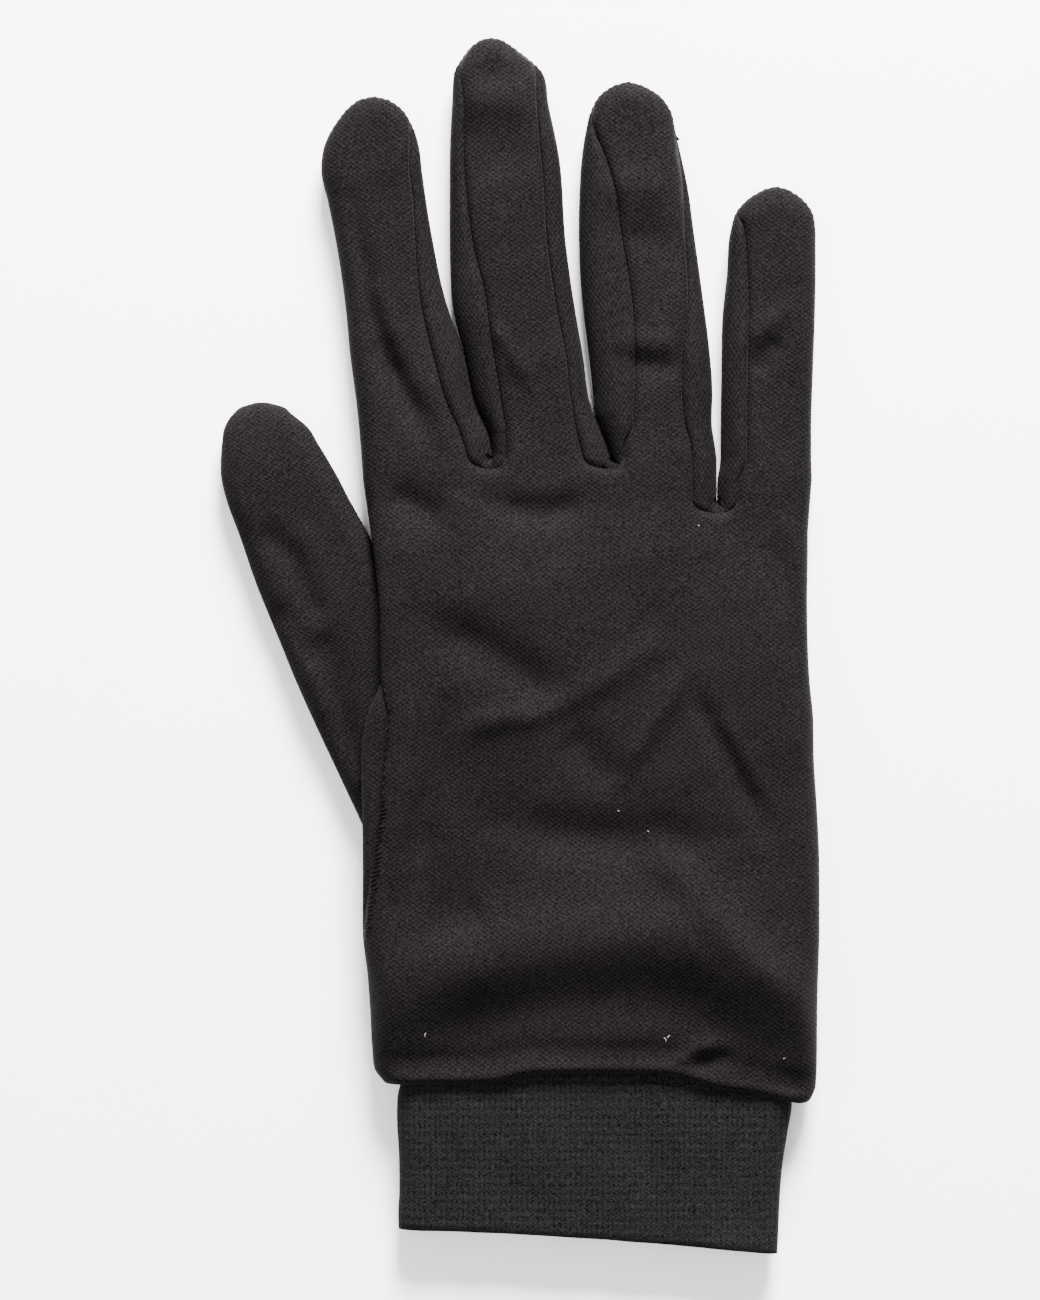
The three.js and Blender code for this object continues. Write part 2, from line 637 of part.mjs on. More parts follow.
// Cuts leave very short edges behind. Each one is closed up into one of its two ends where
// exactly the two faces beside it vanish, so that the solid stays closed.
function closeShortEdges(points, faces) {
  const around = points.map(() => new Set());
  faces.forEach((face, place) => face.forEach((vertex) => around[vertex].add(place)));
  const ringOf = (vertex) => {
    const others = new Set([...around[vertex]].flatMap((place) => faces[place]));
    others.delete(vertex);
    return others;
  };
  const closeOne = (kept, gone) => {
    const near = ringOf(kept);
    const shared = [...ringOf(gone)].filter((vertex) => near.has(vertex));
    const beside = [...around[gone]].filter((place) => around[kept].has(place));
    if (shared.length !== 2 || beside.length !== 2) {
      return;
    }
    for (const place of beside) {
      faces[place].forEach((vertex) => around[vertex].delete(place));
      faces[place] = null;
    }
    for (const place of around[gone]) {
      faces[place] = faces[place].map((vertex) => (vertex === gone ? kept : vertex));
      around[kept].add(place);
    }
    around[gone].clear();
  };
  for (let round = 0; round < 4; round += 1) {
    for (let place = 0; place < faces.length; place += 1) {
      for (let corner = 0; corner < 3 && faces[place]; corner += 1) {
        const kept = faces[place][corner];
        const gone = faces[place][(corner + 1) % 3];
        if (points[kept].distanceTo(points[gone]) < SHORT_EDGE) {
          closeOne(kept, gone);
        }
      }
    }
  }
  return faces.filter((face) => face);
}

// A named mesh from a solid
function meshFrom(name, solid, colour, roughness) {
  const { vertProperties, triVerts, numProp } = solid.getMesh();
  const points = [];
  for (let place = 0; place < vertProperties.length; place += numProp) {
    points.push(new THREE.Vector3().fromArray(vertProperties, place));
  }
  const triangles = [];
  for (let place = 0; place < triVerts.length; place += 3) {
    triangles.push([...triVerts.slice(place, place + 3)]);
  }
  const corners = closeShortEdges(points, triangles).flat();
  const positions = new Float32Array(corners.flatMap((corner) => points[corner].toArray()));
  const geometry = new THREE.BufferGeometry();
  geometry.setAttribute('position', new THREE.BufferAttribute(positions, 3));
  geometry.computeVertexNormals();
  const material = new THREE.MeshStandardMaterial({ color: colour, roughness, metalness: 0 });
  const mesh = new THREE.Mesh(geometry, material);
  mesh.name = name;
  return mesh;
}

const glove = new THREE.Group();
const CHARCOAL = '#2f2b2c';
const SLATE = '#2c2c30';

const outside = gloveSolid(0, 0);
const lining = gloveSolid(JERSEY, -0.05);
const shell = outside.subtract(lining);
const thumbInside = thumbSolid(JERSEY);
const PAIRS = [[0, 1], [1, 2], [2, 3]];
const sewn = PAIRS.map(([left, right]) => {
  const wide = gussetPrism(FINGERS[left], FINGERS[right], SEAM_GAP);
  return wide.add(gussetPrism(FINGERS[left], FINGERS[right], 0));
});

let back = shell.intersect(halfSpace(true)).subtract(wrapPrism(SEAM_GAP));
let palm = shell.intersect(halfSpace(false).add(wrapPrism(0)));
for (const strip of sewn) {
  back = back.subtract(strip);
  palm = palm.subtract(strip);
}
palm = palm.subtract(thumbInside);
glove.add(meshFrom('back_panel', back, CHARCOAL, 0.9));
glove.add(meshFrom('palm_panel', palm, CHARCOAL, 0.9));

for (const [left, right] of PAIRS) {
  const strip = shell.intersect(gussetPrism(FINGERS[left], FINGERS[right], 0));
  const name = `${FINGERS[left].name}_${FINGERS[right].name}_gusset`;
  glove.add(meshFrom(name, strip, CHARCOAL, 0.9));
}

const thumb = thumbSolid(0).subtract(thumbInside).subtract(gloveSolid(-SEAM_GAP, 0));
glove.add(meshFrom('thumb', thumb, CHARCOAL, 0.9));

const cuff = cuffSolid(0, 0).subtract(cuffSolid(RIB, 1));
glove.add(meshFrom('rib_cuff', cuff, SLATE, 0.95));

const bounds = new THREE.Box3().setFromObject(glove);
const centre = bounds.getCenter(new THREE.Vector3());
glove.position.set(-centre.x, -centre.y, -bounds.min.z);

export default glove;
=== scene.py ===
"""A charcoal knitted glove liner for a right hand, lying flat, seen from straight above.

Lengths are in millimetres until a mesh is made, and in metres for camera, lights and floor.
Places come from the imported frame: +X runs from the thumb side to the little-finger side, +Y
towards the fingertips and +Z up.
"""
import math

import bpy
import numpy as np
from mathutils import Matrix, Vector
from mathutils.geometry import delaunay_2d_cdt


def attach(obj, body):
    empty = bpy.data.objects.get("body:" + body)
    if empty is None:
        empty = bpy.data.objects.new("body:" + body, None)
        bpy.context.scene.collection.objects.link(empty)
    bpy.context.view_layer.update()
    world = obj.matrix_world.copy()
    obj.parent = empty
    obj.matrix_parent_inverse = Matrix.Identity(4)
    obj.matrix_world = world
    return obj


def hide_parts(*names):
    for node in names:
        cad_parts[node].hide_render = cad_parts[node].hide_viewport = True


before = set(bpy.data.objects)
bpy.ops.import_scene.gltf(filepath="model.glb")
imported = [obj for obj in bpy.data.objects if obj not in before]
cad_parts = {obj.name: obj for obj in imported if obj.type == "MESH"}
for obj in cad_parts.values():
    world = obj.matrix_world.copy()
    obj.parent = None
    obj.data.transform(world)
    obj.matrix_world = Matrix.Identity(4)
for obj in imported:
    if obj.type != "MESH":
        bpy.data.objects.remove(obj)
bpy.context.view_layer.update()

MM = 0.001

# Where the middle of the hand's lower edge lies in the frame
HAND_X = 15.35
EDGE_Y = -89.74

# Sizes of the glove
JERSEY = 1.0
RIB = 1.5
SEAM_GAP = 0.3
CLEAR = JERSEY + SEAM_GAP
HAND_LENGTH = 128.5
LITTLE_DROP = 9.0
FINGER_SLIT = 0.05
FINGER_GAP = 0.6
ROOT_BLEND = 5.0

# Each finger touches the one on its left up to a height, then opens over a distance
CLOSED_SLITS = {"middle": (147.0, 18.0), "ring": (133.0, 4.5), "little": (123.5, 4.5)}

KNOB = 0.07
HAND_HEIGHT = 12.6
FINGER_HEIGHT = 9.8
THUMB_HEIGHT = 8.2
CUFF_HEIGHT = 9.0
CUFF_WIDTH = 78.0
CUFF_SHOWN = 32.0
CUFF_TUCK = 7.0
THUMB_LENGTH = 108.0
THUMB_FOOT = 32.0
THUMB_WIDTH = 22.1
SIDE_ROUND = 5.0
THUMB_REACH = 17.0
HEM_LEAN = 2.6
CROTCH_DEPTH = 2.4
FOLD_SHARE = 0.95

# Rolled lower edge of the hand: its lip, and the groove behind it
LIP_RISE = 0.8
LIP_IN = 1.2
LIP_ROLL = 1.1
GROOVE_SHARE = 0.7
GROOVE_IN = 5.0
GROOVE_WIDE = 2.0

# How deep the sewn lines sink into the back, and how wide the dips are
SEAM_DIP = 0.75
SEAM_SHOULDER = 0.25
SEAM_WIDE = 0.55
SHOULDER_WIDE = 1.6
STITCHED_DIP = 0.6
STITCHED_WIDE = 0.6

# The back's folds fade out this close to the sides
CALM_REACH = 4.5

# A fold keeps this share of its rise at its ends, which it reaches over this share of its line
FOLD_END = 0.35
FOLD_FADE = 0.25

# Soft unevenness of the back: height, seed and length of two sets of waves
UNEVEN = ((0.20, 4, 17.0), (0.05, 9, 6.0))

# The sides round over at most this share of the height, along a curve of this power
SIDE_SHARE = 0.62
SIDE_POWER = 2.1

# Least height of the hand over its underside
LEAST_HEIGHT = 4.4

# Side of the hand that the thumb starts from, as a share of the hand's width
THUMB_SIDE = -0.511

# Length of a fingertip with knobs, and how fast they grow
KNOBS_LONG = 9.0
KNOBS_FADE = 3.0

# Spacing of the mesh points: on the back, underneath, along outlines and folds, and the rows
# beside the outline and beside a seam
FINE = 0.75
COARSE = 1.6
OUTLINE_STEP = 0.7
FOLD_STEP = 1.5
EDGE_STEPS = (0.12, 0.4, 0.85, 1.5, 2.3)
SEAM_STEPS = (0.4, 0.95, 1.6)

# Rings of the tubes: how many, points in each, and how square their ends are
CUFF_RINGS = 76
CUFF_AROUND = 260
CUFF_SQUARE = 3.2
THUMB_RINGS = 100
THUMB_TIP_RINGS = 22
THUMB_AROUND = 84
THUMB_SQUARE = 2.6
TIP_CLOSING = (0.6, 0.25, 0.02)

# Height of the soft unevenness of the cuff and the thumb, and how far the cuff's top sinks in
CUFF_WAVES = 0.22
THUMB_WAVES = 0.12
CUFF_SINK = 0.25

# The cuff's hem gets lower by this share over this length
HEM_THIN = 0.10
HEM_ROUND = 1.2

# The roof changes from the hand's height to the fingers' over this length, past this place
ROOF_BLEND = 16
ROOF_BLEND_FROM = 5

# The fingers get lower by this share over this length
FINGER_TAPER = 0.10
TAPER_LONG = 90

# Stitch pitch in mm, across and along: jersey, strips between the fingers, rib
JERSEY_PITCH = (0.66, 0.95)
GUSSET_PITCH = (0.70, 0.90)
RIB_PITCH = (0.55, 0.87)

# Camera: height of the floor that the frame shows and the point it looks at, in metres, then
# its lens and sensor in millimetres
SHOWN_HEIGHT = 0.2665
AIM = (0.00008, -0.00057, 0.005)
LENS = 110.0
SENSOR = 36.0

# Floor and lamps, in metres: each lamp's name, place, size and power
FLOOR_HALF = 4.0
FLOOR_LEVEL = -0.0002
WORLD_LIGHT = 1.25
LAMPS = (
    ("key", (0.16, 0.98, 0.58), 0.40, 150.0),
    ("fill", (-0.5, -0.3, 1.0), 1.2, 12.0),
)

# Points that are compared with a line at one time
CHUNK = 4000

# Colours of the yarn, dark and pale, jersey and rib. The mix between them gives the yarn's real dark and pale
# flecks, and also painted shade in the gaps between stitches and painted light on their raised loops
DARK = (0.0010, 0.0008, 0.0008)
LIGHT = (0.0085, 0.0070, 0.0073)
CUFF_DARK = (0.0010, 0.0009, 0.0010)
CUFF_LIGHT = (0.0122, 0.0110, 0.0121)
LINT_COLOUR = (0.16, 0.13, 0.12)
FLOOR_COLOUR = (0.97, 0.97, 0.97)

# How the cloth takes light: roughness of its dark and its bright flecks, gloss and sheen
ROUGHNESS = (0.95, 0.78)
CLOTH_GLOSS = {
    "Specular IOR Level": 0.025, "Sheen Weight": 0.012, "Sheen Roughness": 0.40,
    "Sheen Tint": (0.75, 0.68, 0.68, 1),
}

# Texture sizes of the yarn: hairs, flecks, waver of the rows and cloudy patches, per metre
HAIRS = 5200.0
FLECKS = 2300.0
WAVER = 160.0
PATCHES = 45.0

# Outline of each finger: share of its length, left and right edge, seam on each side.
# Edges are shares of the finger's width from its root's middle, seams are mm in from them.
FINGERS = {
    "index": {"width": 27.3, "length": 74.3, "drop": 0.0, "rows": (
        (0.00, -0.48, 0.50, 0.0, 5.1), (0.07, -0.50, 0.47, 0.0, 6.0),
        (0.14, -0.52, 0.38, 0.0, 5.9), (0.28, -0.57, 0.29, 0.0, 6.5),
        (0.43, -0.61, 0.15, 0.0, 5.2), (0.60, -0.68, 0.05, 0.0, 3.6),
        (0.71, -0.74, 0.00, 0.0, 2.7), (0.79, -0.79, -0.03, 0.0, 2.6),
        (0.87, -0.76, -0.06, 0.0, 1.6), (0.93, -0.67, -0.12, 0.0, 0.0),
        (0.97, -0.58, -0.20, 0.0, 0.0), (0.99, -0.51, -0.28, 0.0, 0.0),
    )},
    "middle": {"width": 23.6, "length": 86.3, "drop": 0.0, "rows": (
        (0.00, -0.47, 0.50, 2.6, 5.8), (0.05, -0.50, 0.44, 3.2, 5.5),
        (0.12, -0.61, 0.33, 5.1, 4.0), (0.24, -0.73, 0.26, 5.8, 3.6),
        (0.37, -0.87, 0.18, 7.0, 3.9), (0.51, -0.90, 0.11, 4.7, 3.9),
        (0.72, -0.90, 0.05, 2.9, 3.8), (0.84, -0.88, -0.04, 2.6, 2.5),
        (0.92, -0.86, -0.10, 1.0, 1.3), (0.95, -0.80, -0.21, 0.0, 0.0),
        (0.98, -0.71, -0.36, 0.0, 0.0), (0.995, -0.63, -0.45, 0.0, 0.0),
    )},
    "ring": {"width": 21.1, "length": 77.3, "drop": 0.0, "rows": (
        (0.00, -0.49, 0.50, 2.6, 5.2), (0.04, -0.55, 0.48, 4.0, 5.2),
        (0.09, -0.67, 0.45, 7.1, 5.7), (0.17, -0.70, 0.46, 8.3, 6.5),
        (0.29, -0.75, 0.43, 9.5, 5.7), (0.40, -0.80, 0.38, 10.1, 3.6),
        (0.60, -0.84, 0.28, 8.5, 2.0), (0.72, -0.83, 0.22, 6.9, 1.0),
        (0.80, -0.81, 0.16, 4.6, 0.5), (0.87, -0.77, 0.10, 1.6, 0.0),
        (0.93, -0.71, 0.04, 0.0, 0.0), (0.97, -0.61, -0.09, 0.0, 0.0),
        (0.99, -0.50, -0.22, 0.0, 0.0),
    )},
    "little": {"width": 18.8, "length": 64.8, "drop": LITTLE_DROP, "rows": (
        (0.00, -0.50, 0.51, 3.9, 0.0), (0.06, -0.49, 0.51, 4.3, 0.0),
        (0.12, -0.49, 0.50, 5.1, 0.0), (0.23, -0.49, 0.50, 5.2, 0.0),
        (0.42, -0.48, 0.52, 5.2, 0.0), (0.58, -0.47, 0.54, 5.2, 0.0),
        (0.72, -0.42, 0.55, 4.0, 0.0), (0.86, -0.38, 0.55, 2.6, 0.0),
        (0.93, -0.29, 0.49, 0.0, 0.0), (0.97, -0.14, 0.36, 0.0, 0.0),
        (0.99, -0.02, 0.25, 0.0, 0.0),
    )},
}
HAND_WIDTH = sum(finger["width"] for finger in FINGERS.values()) + 3 * FINGER_GAP

# Hand: share of its length, left edge, right edge, height, lift of the thumb side.
HAND_ROWS = (
    (0.00, -0.463, 0.474, 0.86, 0.00), (0.02, -0.486, 0.490, 0.92, 0.00),
    (0.06, -0.492, 0.492, 0.98, 0.00), (0.12, -0.496, 0.492, 1.06, 0.00),
    (0.18, -0.502, 0.494, 1.09, 0.10), (0.24, -0.512, 0.497, 1.06, 0.35),
    (0.36, -0.511, 0.497, 1.00, 0.85), (0.44, -0.512, 0.492, 0.98, 1.00),
    (0.52, -0.514, 0.485, 1.00, 1.00), (0.59, -0.500, 0.483, 1.02, 1.00),
    (0.64, -0.472, 0.476, 1.02, 1.00), (0.77, -0.475, 0.470, 1.00, 1.00),
    (0.86, -0.490, 0.472, 0.92, 0.70), (0.93, -0.505, 0.472, 0.84, 0.25),
    (1.00, -0.520, 0.472, 0.84, 0.00),
)

# Lower edge of the hand: mm across from its middle, mm up.
EDGE_ROWS = (
    (-42.7, 0.6), (-33.7, 0.8), (-23.5, 0.9), (-19.4, 1.2), (-15.3, 2.4), (-11.0, 2.9),
    (1.1, 3.0), (14.0, 2.7), (19.6, 1.6), (23.9, 0.1), (31.9, -1.0), (41.3, -3.2),
)

# Thumb: share of its length, left and right edge in shares of its width, height.
THUMB_ROWS = (
    (0.000, 0.30, 0.50, 0.50), (0.030, 0.24, 0.58, 0.66), (0.090, 0.18, 0.64, 0.85),
    (0.180, 0.02, 0.70, 0.96), (0.270, -0.18, 0.70, 1.00), (0.370, -0.41, 0.64, 1.00),
    (0.465, -0.62, 0.54, 1.00), (0.560, -0.81, 0.41, 1.00), (0.655, -1.00, 0.24, 1.00),
    (0.750, -1.16, 0.04, 1.00), (0.810, -1.27, -0.12, 1.00), (0.865, -1.33, -0.26, 0.99),
    (0.920, -1.32, -0.42, 0.96), (0.955, -1.29, -0.53, 0.90), (0.980, -1.21, -0.68, 0.78),
    (0.993, -1.13, -0.76, 0.62), (1.000, -1.02, -0.88, 0.46),
)

# Cuff: share from its tucked top to its hem, left and right edge in shares of its width,
# 1 where it runs inside the hand.
CUFF_ROWS = (
    (0.00, -0.500, 0.500, 1), (0.16, -0.508, 0.515, 1), (0.26, -0.518, 0.518, 1),
    (0.40, -0.519, 0.507, 0), (0.58, -0.514, 0.493, 0), (0.78, -0.513, 0.486, 0),
    (0.92, -0.516, 0.483, 0), (1.00, -0.515, 0.481, 0),
)

# Stitched seam on the thumb side: share of the hand's length, mm in from the outline.
THUMB_SEAM = (
    (0.235, 0.0), (0.27, 0.5), (0.31, 1.2), (0.40, 2.7), (0.48, 4.0),
    (0.545, 4.5), (0.585, 4.4), (0.62, 1.6), (0.64, 0.0),
)

# Folds in the back: rise, half-width, then the points of its line. Millimetres across from
# the middle of the hand and up from its lower edge.
FOLDS = (
    (3.4, 8.0, ((-46, 16), (-27, 25), (-11, 30), (11, 32), (24, 29), (32, 21), (44, 14))),
    (-1.5, 6.5, ((-38, 9), (-20, 15), (0, 18), (18, 17), (34, 9))),
    (-2.2, 5.0, ((-19, 54), (-6, 51), (10, 51), (26, 50))),
    (1.6, 3.6, ((9, 52), (18, 43), (31, 27), (42, 17))),
    (1.6, 3.0, ((-31, 70), (-22, 75), (-10, 76), (4, 84.5), (11, 88.5))),
    (-2.2, 4.6, ((-35, 95), (-28, 92), (-20, 88), (-11, 81.5), (-7, 79))),
    (-1.4, 4.2, ((-6, 73), (0, 66), (5, 61))),
    (1.3, 2.4, ((5, 63), (11, 73), (19, 86))),
    (-1.3, 2.6, ((19, 82), (25, 72), (31, 59), (35, 52))),
    (0.8, 2.0, ((24, 78), (30, 68), (35, 58))),
    (-1.5, 3.5, ((34.5, 113.5), (38, 105), (41, 96.5), (42, 84))),
    (-1.5, 3.2, ((-42, 122), (-36, 118), (-30, 115))),
    (-1.5, 3.0, ((-20, 119), (-11, 116.5), (-2, 119))),
    (0.9, 3.5, ((-29, 113), (-26, 121))),
    (-1.7, 2.4, ((-30.8, 78), (-32.1, 66), (-34.7, 56), (-35.4, 43))),
    (1.2, 2.4, ((-37.5, 84), (-38.5, 70), (-40, 56), (-41, 44))),
    (-1.3, 5.0, ((-34, 36), (-28, 34), (-22, 37))),
    (-0.7, 5.0, ((10, 98), (14, 95))),
    (-0.9, 4.0, ((26, 114), (30, 113))),
    (0.9, 2.5, ((6, 151.7), (17, 151.7))),
    (-0.9, 2.2, ((6, 148), (13, 146.5), (17, 147.5))),
    (-1.2, 2.5, ((38, 153), (35, 149), (32.5, 145))),
    (0.9, 2.2, ((31, 152), (38, 158))),
    (-1.6, 2.3, ((-50, 181), (-46.8, 165), (-43, 150), (-38, 137), (-33, 130))),
    (0.9, 2.2, ((-47, 166), (-43, 158), (-40, 150))),
    (-1.0, 2.0, ((-43, 150), (-37, 140), (-33, 134))),
    (1.2, 4.0, ((-28.6, 201.5), (-13.2, 201.5))),
    (-0.8, 5.0, ((-28, 192), (-14, 192))),
    (0.9, 1.8, ((-21.6, 156), (-17, 150), (-13, 142.5))),
    (1.3, 4.5, ((2, 183), (15.5, 183))),
    (-0.8, 3.0, ((6, 173), (15, 173))),
    (1.2, 1.9, ((16, 4.7), (19.8, 7.4), (22.9, 8.8), (25.5, 8.6))),
    (-0.9, 1.8, ((19.2, 3.7), (22.9, 6.0), (28, 6.6))),
)

# Folds in the thumb, in the same columns
THUMB_FOLDS = (
    (-1.3, 3.0, ((-66, 112), (-60, 106), (-57, 98))),
    (-1.0, 2.6, ((-64, 96), (-58, 88))),
    (0.6, 2.5, ((-60, 112), (-54, 97))),
    (-1.1, 2.6, ((-55, 90), (-52, 76), (-49, 66))),
    (0.5, 2.5, ((-62, 92), (-56, 78))),
)

# Thumb-side stitches are dense and knobbly below this height over the lower edge
KNOBBLY_BELOW = 59.0

# Thread radius and height over the back, of stitches and of lint
STITCH_RADIUS = 0.17
STITCH_RISE = 0.12
LINT_RADIUS = 0.11
LINT_RISE = 0.1

# Lint on the back: mm across and up, radius and turn of each curl
LINT = (
    (-33.9, 10.9, 0.7, 3.0), (13.6, 9.7, 0.8, 0.4), (15.3, 10.2, 0.6, 2.4),
    (4.6, 56.2, 0.3, 1.0), (11.0, 52.5, 0.3, 4.0), (21.0, 114.2, 0.3, 1.2),
    (38.5, 5.9, 0.3, 2.0),
)


def spline(rows, column, along):
    """A smooth column of a table at some shares of the way along it."""
    knots = np.array([row[0] for row in rows])
    values = np.array([row[column] for row in rows])
    slopes = np.gradient(values, knots)
    along = np.clip(np.asarray(along, float), knots[0], knots[-1])
    place = np.clip(np.searchsorted(knots, along, side="right") - 1, 0, len(knots) - 2)
    step = knots[place + 1] - knots[place]
    part = (along - knots[place]) / step
    low, high = values[place], values[place + 1]
    # No knot overshoots its neighbours
    flat = (high - low) / step
    start = np.clip(slopes[place], np.minimum(0, 3 * flat), np.maximum(0, 3 * flat))
    end = np.clip(slopes[place + 1], np.minimum(0, 3 * flat), np.maximum(0, 3 * flat))
    square, cube = part ** 2, part ** 3
    return (
        low * (2 * cube - 3 * square + 1) + high * (3 * square - 2 * cube)
        + step * start * (cube - 2 * square + part) + step * end * (cube - square)
    )


def ease(value):
    """Smooth change from 0 to 1."""
    part = np.clip(value, 0, 1)
    return part * part * (3 - 2 * part)


def resample(points, spacing):
    """Points at an even spacing along a line."""
    points = np.asarray(points, float)
    lengths = np.linalg.norm(np.diff(points, axis=0), axis=1)
    run = np.concatenate([[0], np.cumsum(lengths)])
    stops = np.linspace(0, run[-1], max(2, int(round(run[-1] / spacing)) + 1))
    return np.stack([np.interp(stops, run, points[:, axis]) for axis in (0, 1)], axis=1)


def distance(points, line, closed=False):
    """Distance from each point to a line, and the nearest place on it as a share."""
    points = np.asarray(points, float)
    start = np.asarray(line, float)
    end = np.roll(start, -1, axis=0) if closed else start[1:]
    start = start if closed else start[:-1]
    run = end - start
    squares = np.maximum((run ** 2).sum(axis=1), 1e-12)
    best = np.full(len(points), 1e9)
    where = np.zeros(len(points))
    for low in range(0, len(points), CHUNK):
        away = points[low:low + CHUNK, None, :] - start[None]
        part = np.clip((away * run[None]).sum(axis=2) / squares[None], 0, 1)
        gap = np.linalg.norm(away - part[..., None] * run[None], axis=2)
        nearest = gap.argmin(axis=1)
        rows = np.arange(len(nearest))
        best[low:low + CHUNK] = gap[rows, nearest]
        where[low:low + CHUNK] = (nearest + part[rows, nearest]) / len(run)
    return best, where


def inside(points, outline):
    """True for each point inside a closed outline."""
    points = np.asarray(points, float)
    start = np.asarray(outline, float)
    end = np.roll(start, -1, axis=0)
    result = np.zeros(len(points), bool)
    for low in range(0, len(points), CHUNK):
        x, y = points[low:low + CHUNK, 0:1], points[low:low + CHUNK, 1:2]
        crosses = (start[None, :, 1] > y) != (end[None, :, 1] > y)
        rise = np.where(end[:, 1] == start[:, 1], 1e-12, end[:, 1] - start[:, 1])
        cut = start[None, :, 0] + (y - start[None, :, 1]) / rise[None] * (end - start)[None, :, 0]
        result[low:low + CHUNK] = (crosses & (x < cut)).sum(axis=1) % 2 == 1
    return result


def place_fingers():
    """Gives each finger its root's middle and height."""
    edge = HAND_ROWS[-1][1] * HAND_WIDTH
    for finger in FINGERS.values():
        finger["middle"] = edge + finger["width"] / 2
        finger["root"] = HAND_LENGTH - finger["drop"]
        edge += finger["width"] + FINGER_GAP


def finger_edge(finger, column, y):
    """A side of a finger at some heights."""
    along = (np.asarray(y, float) - finger["root"]) / finger["length"]
    return finger["middle"] + spline(finger["rows"], column, along) * finger["width"]


def left_edge(name, y):
    """Left edge of a finger, a slit clear of the finger before it."""
    names = list(FINGERS)
    edge = finger_edge(FINGERS[name], 1, y)
    if name != names[0]:
        before = FINGERS[names[names.index(name) - 1]]
        other = finger_edge(before, 2, y) + FINGER_SLIT
        top = before["root"] + before["length"]
        edge = np.where(np.asarray(y) < top, np.maximum(edge, other), edge)
        up_to, blend = CLOSED_SLITS[name]
        closed = 1 - ease((np.asarray(y) - up_to) / blend)
        edge = edge + closed * np.minimum(other - edge, 0)
    return edge


def finger_levels(finger):
    """Heights along a finger, closer together at its tip."""
    turn = np.linspace(0, math.pi / 2, 60)
    last = finger["rows"][-1][0]
    return finger["root"] + finger["length"] * last * np.sin(turn)


def edge_height(x, along):
    """The lower edge steps up in the middle and leans down to the right."""
    near = 1 - ease(along / 0.12)
    return along * HAND_LENGTH + near * spline(EDGE_ROWS, 1, x)


def hand_side(column):
    """One side of the hand, from its lower edge up."""
    along = np.linspace(0, 1, 120) ** 1.3
    x = spline(HAND_ROWS, column, along) * HAND_WIDTH
    return np.stack([x, edge_height(x, along)], axis=1)


def overlock(outline):
    """Small knobs of the overlocked seam round each fingertip."""
    run = np.gradient(outline, axis=0)
    run /= np.maximum(np.linalg.norm(run, axis=1, keepdims=True), 1e-9)
    outward = np.stack([-run[:, 1], run[:, 0]], axis=1)
    knobs = np.where(np.arange(len(outline)) % 2 == 0, KNOB, -KNOB)
    near = np.zeros(len(outline))
    for name, finger in FINGERS.items():
        top = finger["root"] + finger["length"]
        foot = top - KNOBS_LONG
        left, right = left_edge(name, foot), finger_edge(finger, 2, foot)
        within = (outline[:, 0] > left - 3) & (outline[:, 0] < right + 3)
        grown = ease((outline[:, 1] - top + KNOBS_LONG) / KNOBS_FADE)
        near = np.where(within, np.maximum(near, grown), near)
    return outline + outward * (knobs * near)[:, None]


def glove_outline():
    """The outline without the lower edge, and the lower edge by itself."""
    left = hand_side(1)
    right = hand_side(2)
    points = [left[left[:, 1] < HAND_LENGTH - ROOT_BLEND]]
    for name, finger in FINGERS.items():
        levels = finger_levels(finger)
        up = np.stack([left_edge(name, levels), levels], axis=1)
        down = np.stack([finger_edge(finger, 2, levels), levels], axis=1)[::-1]
        if name == "index":
            up = up[levels > finger["root"] + ROOT_BLEND]
        if name == "little":
            down = down[down[:, 1] > finger["root"] + ROOT_BLEND]
        tip = [[(up[-1, 0] + down[0, 0]) / 2, finger["root"] + finger["length"]]]
        points += [up, tip, down]
        if name == "ring":
            bottom = FINGERS["little"]["root"]
            levels = np.linspace(finger["root"] - 0.5, bottom, 12)
            points.append(np.stack([np.full(12, down[-1, 0]), levels], axis=1))
    points.append(right[right[:, 1] < HAND_LENGTH - LITTLE_DROP - ROOT_BLEND][::-1])
    sides = overlock(resample(np.concatenate(points), OUTLINE_STEP))
    x = np.linspace(right[0, 0], left[0, 0], 110)
    lower = np.stack([x, edge_height(x, np.zeros(110))], axis=1)
    return sides, resample(lower, OUTLINE_STEP)[1:-1]


def seam_lines():
    """The seams of the strip between each pair of fingers, as one line each."""
    lines = {}
    names = list(FINGERS)
    for left_name, right_name in zip(names, names[1:]):
        left, right = FINGERS[left_name], FINGERS[right_name]
        crotch = min(left["root"], right["root"])
        start = [row[0] for row in left["rows"] if row[4] > 0][-1]
        end = [row[0] for row in right["rows"] if row[3] > 0][-1]
        y = np.linspace(left["root"] + left["length"] * (start + 0.05), crotch, 90)
        inset = spline(left["rows"], 4, (y - left["root"]) / left["length"])
        down = np.stack([finger_edge(left, 2, y) - inset, y], axis=1)
        y = np.linspace(crotch, right["root"] + right["length"] * (end + 0.05), 90)
        inset = spline(right["rows"], 3, (y - right["root"]) / right["length"])
        up = np.stack([left_edge(right_name, y) + inset, y], axis=1)
        slit = left_edge(right_name, crotch) - FINGER_SLIT / 2
        angle = np.linspace(0, math.pi, 24)[1:-1]
        reach = np.cos(angle)
        x = np.where(reach > 0, slit - (slit - down[-1, 0]) * reach, slit - (up[0, 0] - slit) * reach)
        arc = np.stack([x, crotch - CROTCH_DEPTH * np.sin(angle)], axis=1)
        lines[f"{left_name}_{right_name}_gusset"] = resample(np.concatenate([down, arc, up]), OUTLINE_STEP)
    return lines


def thumb_seam():
    """The stitched seam on the thumb side, from the bottom up."""
    along = np.linspace(THUMB_SEAM[0][0], THUMB_SEAM[-1][0], 90)
    x = spline(HAND_ROWS, 1, along) * HAND_WIDTH + spline(THUMB_SEAM, 1, along)
    return resample(np.stack([x, along * HAND_LENGTH], axis=1), OUTLINE_STEP)


